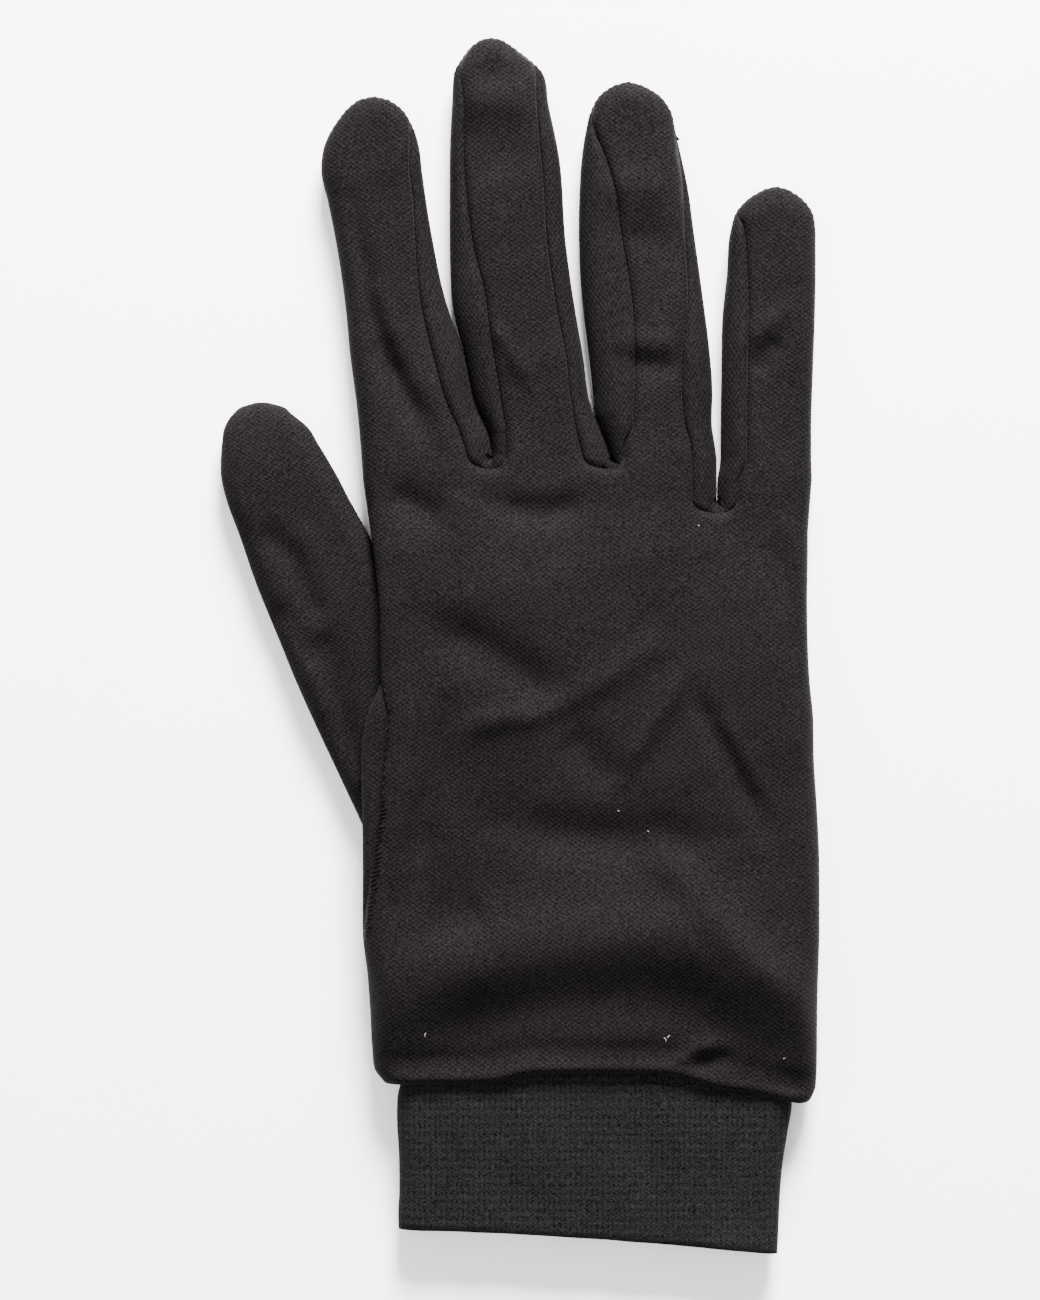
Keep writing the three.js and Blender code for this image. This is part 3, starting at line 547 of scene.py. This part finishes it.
def hand_lift(x, y):
    """How far the underside is raised on the thumb side."""
    along = np.clip(y / HAND_LENGTH, 0, 1)
    edge = spline(HAND_ROWS, 1, along) * HAND_WIDTH
    lift = spline(HAND_ROWS, 4, along) * (THUMB_HEIGHT + SEAM_GAP)
    return lift * (1 - ease((x - edge) / THUMB_REACH))


def plain_roof(x, y):
    """Height of the back before its folds."""
    along = y / HAND_LENGTH
    hand = spline(HAND_ROWS, 3, along) * HAND_HEIGHT
    fingers = FINGER_HEIGHT * (1 - FINGER_TAPER * ease((y - HAND_LENGTH) / TAPER_LONG))
    part = ease((y - (HAND_LENGTH - ROOF_BLEND_FROM)) / ROOF_BLEND)
    roof = hand * (1 - part) + fingers * part
    return np.maximum(roof, hand_lift(x, y) + LEAST_HEIGHT)


def fold_rise(points):
    """How far the folds raise the back, shallower at the ends of each."""
    rise = np.zeros(len(points))
    for height, wide, line in FOLDS:
        smooth = resample(round_line(line), FOLD_STEP)
        away, where = distance(points, smooth)
        ends = FOLD_END + (1 - FOLD_END) * ease(where / FOLD_FADE) * ease((1 - where) / FOLD_FADE)
        rise += height * np.exp(-(away / wide) ** 2) * ends
    return rise


def round_line(line):
    """A line with its corners cut twice, so that it runs smoothly."""
    points = np.asarray(line, float)
    for _ in range(2):
        if len(points) < 3:
            return points
        near = points[:-1] * 0.75 + points[1:] * 0.25
        far = points[:-1] * 0.25 + points[1:] * 0.75
        middle = np.stack([near, far], axis=1).reshape(-1, 2)
        points = np.concatenate([points[:1], middle, points[-1:]])
    return points


def ripple(points, seed, size):
    """Soft unevenness of cloth, from a few waves."""
    draw = np.random.default_rng(seed)
    total = np.zeros(len(points))
    for _ in range(9):
        angle = draw.uniform(0, 2 * math.pi)
        length = draw.uniform(0.7, 1.8) * size
        shift = draw.uniform(0, 6.3)
        total += np.sin((points @ [math.cos(angle), math.sin(angle)]) * 2 * math.pi / length + shift)
    return total / 3


class Surface:
    """Heights of the back and the underside at places seen from above."""

    def __init__(self):
        self.sides, self.lower = glove_outline()
        self.outline = np.concatenate([self.sides, self.lower])
        self.seams = seam_lines()
        self.thumb_seam = thumb_seam()

    def heights(self, points):
        x, y = points[:, 0], points[:, 1]
        side, _ = distance(points, self.sides)
        low, _ = distance(points, self.lower)
        seam = np.full(len(points), 1e9)
        for line in self.seams.values():
            seam = np.minimum(seam, distance(points, line)[0])
        stitched, _ = distance(points, self.thumb_seam)
        floor = hand_lift(x, y)
        roof = plain_roof(x, y)
        calm = ease(side / CALM_REACH)
        uneven = sum(rise * ripple(points, seed, size) for rise, seed, size in UNEVEN)
        roof = roof + calm * (FOLD_SHARE * fold_rise(points) + uneven)
        reach = np.minimum(SIDE_ROUND, (roof - floor) * SIDE_SHARE)
        turn = np.clip(1 - side / reach, 0, 1)
        full = np.sqrt(np.clip(1 - turn ** SIDE_POWER, 0, 1))
        middle = (roof + floor) / 2
        top = middle + (roof - middle) * full
        bottom = middle - (middle - floor) * full
        # The back comes down over the cuff in a soft roll, with a small lip at its edge
        over_cuff = np.minimum(CUFF_HEIGHT + 2 * CLEAR - 0.4, top)
        lip = np.exp(-(low - LIP_IN) ** 2)
        lip = lip - GROOVE_SHARE * np.exp(-((low - GROOVE_IN) / GROOVE_WIDE) ** 2)
        top = top + LIP_RISE * lip
        roll = np.clip(1 - low / LIP_ROLL, 0, 1)
        top = over_cuff + (top - over_cuff) * np.sqrt(1 - roll ** 2.2)
        # Sewn edges turn down into the seam
        dip = np.exp(-(seam / SEAM_WIDE) ** 2)
        top = top - SEAM_DIP * dip - SEAM_SHOULDER * np.exp(-(seam / SHOULDER_WIDE) ** 2)
        top = top - STITCHED_DIP * np.exp(-(stitched / STITCHED_WIDE) ** 2)
        bottom = bottom + 0.5 * dip * full
        return top, np.minimum(bottom, top - 0.05), side


def offset_points(line, steps, spacing):
    """Points beside a line at some distances, on both sides."""
    points = resample(line, spacing)
    along = np.gradient(points, axis=0)
    along /= np.maximum(np.linalg.norm(along, axis=1, keepdims=True), 1e-9)
    across = np.stack([-along[:, 1], along[:, 0]], axis=1)
    return [points + across * step * sign for step in steps for sign in (1, -1)]


def triangulate(surface, spacing, seams):
    """Points and triangles that fill the outline, with the seams as edges."""
    low, high = surface.outline.min(axis=0), surface.outline.max(axis=0)
    x, y = np.meshgrid(
        np.arange(low[0], high[0], spacing), np.arange(low[1], high[1], spacing * 0.87)
    )
    x[1::2] += spacing / 2
    grid = np.stack([x.ravel(), y.ravel()], axis=1)
    grid = grid[inside(grid, surface.outline)]
    side = distance(grid, surface.outline, closed=True)[0]
    close = np.full(len(grid), 1e9)
    for line in seams:
        close = np.minimum(close, distance(grid, line)[0])
    clear_of_side = side > EDGE_STEPS[-1] + spacing * 0.6
    grid = grid[clear_of_side & (close > SEAM_STEPS[-1] + spacing * 0.4)]
    extra = []
    for step in EDGE_STEPS:
        for row in offset_points(surface.outline, (step,), spacing):
            row = row[inside(row, surface.outline)]
            away = distance(row, surface.outline, closed=True)[0]
            row = row[away > step * 0.93]
            gap = np.full(len(row), 1e9)
            for line in seams:
                gap = np.minimum(gap, distance(row, line)[0])
            extra.append(row[gap > 0.5])
    for line in seams:
        for row in offset_points(line, SEAM_STEPS, spacing):
            row = row[inside(row, surface.outline)]
            away = distance(row, surface.outline, closed=True)[0]
            gap = np.full(len(row), 1e9)
            for other in seams:
                gap = np.minimum(gap, distance(row, other)[0])
            extra.append(row[(away > EDGE_STEPS[-1] + 0.3) & (gap > 0.36)])
    points = [surface.outline]
    count = len(surface.outline)
    edges = [(place, (place + 1) % count) for place in range(count)]
    for line in seams:
        kept = line[inside(line, surface.outline)]
        kept = kept[distance(kept, surface.outline, closed=True)[0] > 0.1]
        edges += [(count + place, count + place + 1) for place in range(len(kept) - 1)]
        points.append(kept)
        count += len(kept)
    points = np.concatenate(points + extra + [grid])
    result = delaunay_2d_cdt([Vector(point) for point in points], edges, [], 0, 0.02)
    flat = np.array([tuple(vertex) for vertex in result[0]])
    faces = np.array([face for face in result[2] if len(face) == 3])
    faces = faces[inside(flat[faces].mean(axis=1), surface.outline)]
    corners = flat[faces]
    area = np.cross(corners[:, 1] - corners[:, 0], corners[:, 2] - corners[:, 0])
    faces[area < 0] = faces[area < 0][:, ::-1]
    return flat, faces[np.abs(area) > 1e-4]


def region_of(surface, centres):
    """Name of the piece that each place on the back belongs to."""
    region = np.full(len(centres), "back_panel", dtype="<U24")
    far = 200.0
    for name, line in surface.seams.items():
        strip = np.concatenate([line, [[line[-1, 0] - 3, line[-1, 1] + 2], [line[0, 0] + 3, line[0, 1] + 2]]])
        region[inside(centres, strip)] = name
    seam = surface.thumb_seam
    wrap = np.concatenate([seam, [[-far, seam[-1, 1]], [-far, seam[0, 1]]]])
    region[inside(centres, wrap)] = "palm_panel"
    return region


def to_frame(points):
    """Millimetres of the hand to metres of the frame."""
    return (np.asarray(points, float) + [HAND_X, EDGE_Y, 0.0]) * MM


def new_piece(name, points, faces, flat):
    """A mesh object, with a map of its cloth in millimetres."""
    used, index = np.unique(np.asarray(faces).ravel(), return_inverse=True)
    mesh = bpy.data.meshes.new(name)
    mesh.from_pydata(to_frame(points[used]).tolist(), [], index.reshape(-1, len(faces[0])).tolist())
    layer = mesh.uv_layers.new(name="cloth")
    corners = np.empty(len(mesh.loops), int)
    mesh.loops.foreach_get("vertex_index", corners)
    layer.data.foreach_set("uv", flat[used][corners].ravel())
    mesh.polygons.foreach_set("use_smooth", [True] * len(mesh.polygons))
    mesh.update()
    piece = bpy.data.objects.new(name, mesh)
    bpy.context.collection.objects.link(piece)
    return piece


def thicken(piece, thickness):
    """Gives a piece its wall, inwards."""
    bpy.context.view_layer.objects.active = piece
    wall = piece.modifiers.new("wall", "SOLIDIFY")
    wall.thickness = thickness * MM
    wall.offset = -1
    wall.use_even_offset = False
    bpy.ops.object.modifier_apply(modifier=wall.name)


def cloth_map(x, y):
    """Where a place lies in the cloth: its grain follows each finger."""
    u = x.copy()
    for name, finger in FINGERS.items():
        level = np.maximum(y, finger["root"])
        left, right = left_edge(name, level), finger_edge(finger, 2, level)
        within = (y > finger["root"]) & (x > left - 2) & (x < right + 2)
        middle = (left + right) / 2
        root = (left_edge(name, finger["root"]) + finger_edge(finger, 2, finger["root"])) / 2
        u = np.where(within, x - (middle - root), u)
    return np.stack([u, y], axis=1)


def weld(first, second):
    """Two sets of points and faces as one, with points that meet made one."""
    points = np.concatenate([first[0], second[0]])
    flat = np.concatenate([first[2], second[2]])
    faces = np.concatenate([first[1], second[1] + len(first[0])])
    keys, index = np.unique(np.round(points, 3), axis=0, return_index=True)
    place = {tuple(key): number for key, number in zip(keys.tolist(), index.tolist())}
    target = np.array([place[tuple(row)] for row in np.round(points, 3).tolist()])
    return points, target[faces], flat


def inside_thumb(points, spare):
    """True where a point lies inside the thumb's tube, spare mm in from its surface."""
    along = (points[:, 1] - THUMB_FOOT) / THUMB_LENGTH
    edge = THUMB_SIDE * HAND_WIDTH
    left = edge + spline(THUMB_ROWS, 1, along) * THUMB_WIDTH + spare
    right = edge + spline(THUMB_ROWS, 2, along) * THUMB_WIDTH - spare
    roof = spline(THUMB_ROWS, 3, along) * THUMB_HEIGHT - spare
    x, z = points[:, 0], points[:, 2]
    return (along > 0.03) & (along < 1) & (x > left) & (x < right) & (z < roof) & (z > spare)


def make_hand(surface):
    """The back, the palm and the strips between the fingers."""
    seams = list(surface.seams.values())
    flat, faces = triangulate(surface, FINE, seams + [surface.thumb_seam])
    top, _, side = surface.heights(flat)
    upper = np.column_stack([flat, top])
    region = region_of(surface, flat[faces].mean(axis=1))
    under_flat, under_faces = triangulate(surface, COARSE, seams)
    _, bottom, _ = surface.heights(under_flat)
    lower = np.column_stack([under_flat, bottom])
    under_region = region_of(surface, under_flat[under_faces].mean(axis=1))
    under_region[under_region == "back_panel"] = "palm_panel"
    # Both halves meet along the sides at the same height
    height = {tuple(np.round(point, 3)): z for point, z in zip(flat[side < 0.01], top[side < 0.01])}
    for place, point in enumerate(np.round(under_flat, 3)):
        if tuple(point) in height and distance([under_flat[place]], surface.sides)[0][0] < 0.01:
            lower[place, 2] = height[tuple(point)]
    upper_map, lower_map = cloth_map(flat[:, 0], flat[:, 1]), cloth_map(under_flat[:, 0], under_flat[:, 1])
    under_faces = under_faces[:, ::-1]
    pieces = {}
    for name in ["back_panel", "palm_panel", *surface.seams]:
        above = faces[region == name]
        below = under_faces[under_region == name]
        if name == "palm_panel":
            below = below[~inside_thumb(lower[below].mean(axis=1), JERSEY + 0.4)]
        if name == "back_panel":
            points, kept, cloth = upper, above, upper_map
        else:
            points, kept, cloth = weld((upper, above, upper_map), (lower, below, lower_map))
        piece = new_piece(f"{name}_cloth", points, kept, cloth)
        thicken(piece, JERSEY)
        pieces[name] = piece
    return pieces


def tube(name, rings, maps, thickness, shape=None):
    """A tube of cloth through rings of points, open at its first ring."""
    around = len(rings[0])
    points = np.concatenate(rings)
    flat = np.concatenate(maps)
    faces = []
    for ring in range(len(rings) - 1):
        for place in range(around):
            a, b = ring * around + place, ring * around + (place + 1) % around
            faces.append((a, b, b + around, a + around))
    faces = np.array(faces)
    if shape is not None:
        faces = faces[shape(points[faces].mean(axis=1))]
    piece = new_piece(name, points, faces, flat)
    thicken(piece, thickness)
    return piece


def slab_ring(left, right, floor, roof, level, count, power):
    """A ring round a soft flat tube, from its left side over its top."""
    angle = np.linspace(0, 2 * math.pi, count, endpoint=False)
    half, high = (right - left) / 2, (roof - floor) / 2
    reach = min(SIDE_ROUND, half)
    cosine, sine = -np.cos(angle), np.sin(angle)
    spread = np.sign(cosine) * np.abs(cosine) ** (2 / power)
    x = (left + right) / 2 + spread * half
    inset = np.minimum(x - left, right - x)
    turn = np.clip(1 - inset / reach, 0, 1)
    z = (floor + roof) / 2 + np.sign(sine) * high * np.sqrt(np.clip(1 - turn ** 2, 0, 1))
    return np.column_stack([x, level(x) if callable(level) else np.full(count, level), z])


def make_thumb(surface):
    """The thumb's tube, without what would lie inside the hand."""
    edge = THUMB_SIDE * HAND_WIDTH
    end = 0.9 + 0.1 * np.sin(np.linspace(0.05, math.pi / 2, THUMB_TIP_RINGS))
    turn = np.concatenate([np.linspace(0, 0.9, THUMB_RINGS), end])
    rings, maps = [], []
    for along in turn:
        left, right, tall = (float(spline(THUMB_ROWS, column, along)) for column in (1, 2, 3))
        y = THUMB_FOOT + along * THUMB_LENGTH
        left, right = edge + left * THUMB_WIDTH, edge + right * THUMB_WIDTH
        ring = slab_ring(left, right, 0, tall * THUMB_HEIGHT, y, THUMB_AROUND, THUMB_SQUARE)
        middle = ring[:, 0].mean()
        wrinkles = thumb_folds(ring)
        above = ease((ring[:, 2] / (tall * THUMB_HEIGHT) - 0.45) / 0.4)
        ring[:, 2] += above * np.minimum(wrinkles, 0.5)
        rings.append(ring)
        maps.append(np.column_stack([ring[:, 0] - middle, np.full(len(ring), y)]))
    last = rings[-1].mean(axis=0)
    for share in TIP_CLOSING:
        rings.append(last + (rings[-1] - last) * share)
        maps.append(maps[-1].copy())

    def outside_hand(centres):
        within = inside(centres[:, :2], surface.outline)
        floor = hand_lift(centres[:, 0], centres[:, 1])
        return ~(within & (centres[:, 2] > floor + 0.2))

    return tube("thumb_cloth", rings, maps, JERSEY, outside_hand)


def thumb_folds(ring):
    """How far the folds raise the points of a ring."""
    rise = np.zeros(len(ring))
    for height, wide, line in THUMB_FOLDS:
        away, _ = distance(ring[:, :2], resample(round_line(line), FOLD_STEP))
        rise += height * np.exp(-(away / wide) ** 2)
    return rise + THUMB_WAVES * ripple(ring[:, :2], 21, 12.0)


def hem_shape(across):
    """The hem is level on the left and leans down to the right."""
    return 2 * np.clip((across + 1) / 2, 0, 1.1) ** 1.6 - 1


def make_cuff():
    """The ribbed cuff, open at its hem, from its tucked top downwards."""
    length = CUFF_TUCK + CUFF_SHOWN
    half = CUFF_WIDTH / 2
    rings, maps = [], []
    for along in np.linspace(0, 1, CUFF_RINGS):
        left, right, sunk = (float(spline(CUFF_ROWS, column, along)) for column in (1, 2, 3))
        base = sunk * CLEAR
        roof = CUFF_HEIGHT + CLEAR * (1 - ease((along - 0.2) / 0.8))
        hem = 1 - ease(min(1, (1 - along) * length / HEM_ROUND))
        ring = slab_ring(
            left * CUFF_WIDTH, right * CUFF_WIDTH, base, roof,
            lambda x: CUFF_TUCK - along * (length + HEM_LEAN * hem_shape(x / half)),
            CUFF_AROUND, CUFF_SQUARE,
        )
        middle = (base + roof) / 2
        ring[:, 2] = middle + (ring[:, 2] - middle) * (1 - HEM_THIN * hem)
        above = ease((ring[:, 2] - middle) / (roof - middle))
        waves = CUFF_WAVES * ripple(ring[:, :2] * [1, 0.45], 31, 11.0) - CUFF_SINK
        ring[:, 2] += above * waves * ease(along / 0.3)
        rings.append(ring[::-1])
        maps.append(ring[::-1, :2])
    return tube("rib_cuff_cloth", rings, maps, RIB)


def strands(name, lines, radius):
    """Short threads as one mesh: a five-sided tube through each line, closed at its ends."""
    sides = 5
    points, faces = [], []
    angle = np.linspace(0, 2 * math.pi, sides, endpoint=False)
    for line in lines:
        line = np.asarray(line, float)
        run = np.gradient(line, axis=0)
        run /= np.linalg.norm(run, axis=1, keepdims=True)
        across = np.cross(run, [0, 0, 1.0])
        across /= np.linalg.norm(across, axis=1, keepdims=True)
        upward = np.cross(across, run)
        first = len(points)
        for place in range(len(line)):
            thin = radius * math.sin(math.pi * (place + 0.5) / len(line)) ** 0.5
            for turn in angle:
                step = across[place] * math.cos(turn) + upward[place] * math.sin(turn)
                points.append(line[place] + step * thin)
        for ring in range(len(line) - 1):
            for side in range(sides):
                a = first + ring * sides + side
                b = first + ring * sides + (side + 1) % sides
                faces += [(a, b, b + sides), (a, b + sides, a + sides)]
        last = first + (len(line) - 1) * sides
        faces += [(first, first + side + 1, first + side) for side in range(1, sides - 1)]
        faces += [(last, last + side, last + side + 1) for side in range(1, sides - 1)]
    points = np.array(points)
    return new_piece(name, points, np.array(faces), points[:, :2])


def on_back(surface, points, above):
    """Points laid on the back, raised by a height."""
    points = np.asarray(points, float)
    top, _, _ = surface.heights(points)
    return np.column_stack([points, top + above])


def make_stitches(surface):
    """The stitched seam on the thumb side: a zigzag row, dense and knobbly low down."""
    draw = np.random.default_rng(12)
    lines = []
    row = resample(surface.thumb_seam, 0.1)
    run = np.gradient(row, axis=0)
    run /= np.linalg.norm(run, axis=1, keepdims=True)
    right = np.stack([run[:, 1], -run[:, 0]], axis=1)
    beside = 0.35
    place = 6
    while place < len(row) - 14:
        low = row[place, 1] < KNOBBLY_BELOW
        length = 7 if low else 13
        reach = draw.uniform(0.7, 1.5) if low else beside
        start = row[place] + right[place] * beside
        end = row[place + length] + right[place] * (beside + reach)
        if low and draw.uniform() < 0.5:
            start, end = end, start
        middle = (start + end) / 2 + draw.normal(0, 0.08, 2)
        line = on_back(surface, [start, middle, end], STITCH_RISE)
        line[1, 2] += STITCH_RISE
        lines.append(line)
        place += 9 if low else 19
    return strands("side_seam_stitches", lines, STITCH_RADIUS)


def make_lint(surface):
    """Pale specks of lint: place in mm from the middle of the lower edge, size, turn."""
    lines = []
    for x, y, size, turn in LINT:
        angle = np.linspace(-0.7, 0.7, 5) + turn
        curve = np.stack([x + size * np.cos(angle), y + size * np.sin(angle)], axis=1)
        lines.append(on_back(surface, curve, LINT_RISE))
    return strands("lint", lines, LINT_RADIUS)


class Nodes:
    """Short calls for building a material's nodes."""

    def __init__(self, name):
        self.material = bpy.data.materials.new(name)
        self.material.use_nodes = True
        self.tree = self.material.node_tree
        self.shader = self.tree.nodes["Principled BSDF"]

    def add(self, kind, **settings):
        node = self.tree.nodes.new(kind)
        for key, value in settings.items():
            setattr(node, key, value)
        return node

    def put(self, socket, value):
        if isinstance(value, bpy.types.NodeSocket):
            self.tree.links.new(value, socket)
        else:
            socket.default_value = value

    def math(self, operation, first, second=0.0):
        node = self.add("ShaderNodeMath", operation=operation)
        for socket, value in zip(node.inputs, (first, second)):
            self.put(socket, value)
        return node.outputs[0]

    def noise(self, where, scale, detail=2.0):
        node = self.add("ShaderNodeTexNoise")
        self.put(node.inputs["Vector"], where)
        self.put(node.inputs["Scale"], scale)
        self.put(node.inputs["Detail"], detail)
        return node.outputs["Fac"]

    def ramp(self, value, low, high, first, last):
        node = self.add("ShaderNodeMapRange")
        names = ("Value", "From Min", "From Max", "To Min", "To Max")
        for name, number in zip(names, (value, low, high, first, last)):
            self.put(node.inputs[name], number)
        return node.outputs["Result"]

    def mix(self, share, first, second):
        node = self.add("ShaderNodeMix", data_type="RGBA")
        self.put(node.inputs["Factor"], share)
        self.put(node.inputs["A"], first)
        self.put(node.inputs["B"], second)
        return node.outputs["Result"]


def knit_material(name, dark, light, pitch, turned=False, rib=0.0, depth=0.07):
    """Knitted cloth: staggered stitches, a wale apart and a course high, of flecked yarn, with shade painted
    into the gaps between the stitches.
    """
    wale, course = pitch
    nodes = Nodes(name)
    cloth = nodes.add("ShaderNodeUVMap", uv_map="cloth").outputs["UV"]
    split = nodes.add("ShaderNodeSeparateXYZ")
    nodes.put(split.inputs[0], cloth)
    across, along = split.outputs[0], split.outputs[1]
    if turned:
        across, along = along, across
    solid = nodes.add("ShaderNodeTexCoord").outputs["Object"]
    waver = nodes.math("MULTIPLY", nodes.math("SUBTRACT", nodes.noise(solid, WAVER), 0.5), 0.5)
    u = nodes.math("ADD", across, waver)
    v = nodes.math("ADD", along, waver)
    column = nodes.math("COSINE", nodes.math("MULTIPLY", u, math.pi / wale))
    row = nodes.math("COSINE", nodes.math("MULTIPLY", v, 2 * math.pi / course))
    stitch = nodes.math("MULTIPLY", column, row)
    if rib:
        wide = nodes.math("COSINE", nodes.math("MULTIPLY", u, 2 * math.pi / (2 * wale)))
        band = nodes.math("COSINE", nodes.math("MULTIPLY", v, math.pi / course))
        stitch = nodes.math("ADD", nodes.math("MULTIPLY", stitch, 0.45), nodes.math("MULTIPLY", wide, rib))
        stitch = nodes.math("ADD", stitch, nodes.math("MULTIPLY", band, 0.30))
    fleck = nodes.noise(solid, FLECKS, 1.0)
    fine = nodes.noise(solid, HAIRS, 1.0)
    patch = nodes.noise(solid, PATCHES, 3.0)
    # The stitch pattern, rib valleys included, paints shade into the gaps between stitches and light onto the
    # raised loops; the flecks and cloudy patches are the yarn's own colour
    tone = nodes.math("ADD", nodes.math("MULTIPLY", stitch, 0.20), 0.36)
    tone = nodes.math("ADD", tone, nodes.math("MULTIPLY", nodes.math("SUBTRACT", fleck, 0.5), 1.5))
    tone = nodes.math("ADD", tone, nodes.math("MULTIPLY", nodes.math("SUBTRACT", patch, 0.5), 0.35))
    share = nodes.ramp(tone, 0.0, 1.0, 0.0, 1.0)
    nodes.put(nodes.shader.inputs["Base Color"], nodes.mix(share, (*dark, 1), (*light, 1)))
    height = nodes.math("ADD", nodes.math("MULTIPLY", stitch, 0.5), nodes.math("MULTIPLY", fine, 0.7))
    height = nodes.math("ADD", height, nodes.math("MULTIPLY", fleck, 0.6))
    bump = nodes.add("ShaderNodeBump")
    bump.inputs["Strength"].default_value = 1.0
    bump.inputs["Distance"].default_value = depth * MM
    nodes.put(bump.inputs["Height"], height)
    nodes.put(nodes.shader.inputs["Normal"], bump.outputs["Normal"])
    nodes.put(nodes.shader.inputs["Roughness"], nodes.ramp(fleck, 0.2, 0.8, *ROUGHNESS))
    for socket, value in CLOTH_GLOSS.items():
        nodes.shader.inputs[socket].default_value = value
    return nodes.material


def plain_material(name, colour, roughness):
    """An even, slightly cloudy surface."""
    nodes = Nodes(name)
    solid = nodes.add("ShaderNodeTexCoord").outputs["Object"]
    share = nodes.noise(solid, 60.0)
    lighter = tuple(min(1.0, part * 1.02) for part in colour)
    nodes.put(nodes.shader.inputs["Base Color"], nodes.mix(share, (*colour, 1), (*lighter, 1)))
    nodes.shader.inputs["Roughness"].default_value = roughness
    return nodes.material


def dress(piece, node, cloth):
    """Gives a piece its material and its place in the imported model."""
    piece.data.materials.append(cloth)
    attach(piece, "root")
    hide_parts(node)


def make_stage():
    """A plain pale floor, soft light from above and beyond the fingertips."""
    half, level = FLOOR_HALF, FLOOR_LEVEL
    corners = [(-half, -half, level), (half, -half, level), (half, half, level), (-half, half, level)]
    mesh = bpy.data.meshes.new("floor")
    mesh.from_pydata(corners, [], [(0, 1, 2, 3)])
    floor = bpy.data.objects.new("floor", mesh)
    bpy.context.collection.objects.link(floor)
    mesh.materials.append(plain_material("white_paper", FLOOR_COLOUR, 0.9))
    world = bpy.data.worlds.new("studio")
    bpy.context.scene.world = world
    world.use_nodes = True
    world.node_tree.nodes["Background"].inputs[0].default_value = (1, 1, 1, 1)
    world.node_tree.nodes["Background"].inputs[1].default_value = WORLD_LIGHT
    for lamp in LAMPS:
        soft_light(*lamp)


def soft_light(name, place, size, power):
    """A square soft light that looks at the origin."""
    light = bpy.data.lights.new(name, "AREA")
    light.shape = "SQUARE"
    light.size = size
    light.energy = power
    lamp = bpy.data.objects.new(name, light)
    lamp.location = place
    lamp.rotation_euler = (-Vector(place)).to_track_quat("-Z", "Y").to_euler()
    bpy.context.collection.objects.link(lamp)


def make_camera():
    """Straight above, with the frame's 1300 rows covering the photograph's height."""
    data = bpy.data.cameras.new("camera")
    data.lens = LENS
    data.sensor_width = SENSOR
    data.sensor_fit = "AUTO"
    data.clip_start = 0.01
    camera = bpy.data.objects.new("camera", data)
    camera.location = Vector(AIM) + Vector((0, 0, SHOWN_HEIGHT / 2 / (SENSOR / 2 / LENS)))
    bpy.context.collection.objects.link(camera)
    bpy.context.scene.camera = camera


make_camera()
make_stage()
place_fingers()
surface = Surface()
jersey = knit_material("jersey", DARK, LIGHT, JERSEY_PITCH)
across_grain = knit_material("gusset_jersey", DARK, LIGHT, GUSSET_PITCH, turned=True)
rib = knit_material("rib_knit", CUFF_DARK, CUFF_LIGHT, RIB_PITCH, rib=0.35, depth=0.09)

pieces = make_hand(surface)
for node in ("back_panel", "palm_panel"):
    dress(pieces[node], node, jersey)
for node in surface.seams:
    dress(pieces[node], node, across_grain)
dress(make_thumb(surface), "thumb", jersey)
dress(make_cuff(), "rib_cuff", rib)
dress(make_stitches(surface), "palm_panel", jersey)
dress(make_lint(surface), "back_panel", plain_material("pale_lint", LINT_COLOUR, 0.9))
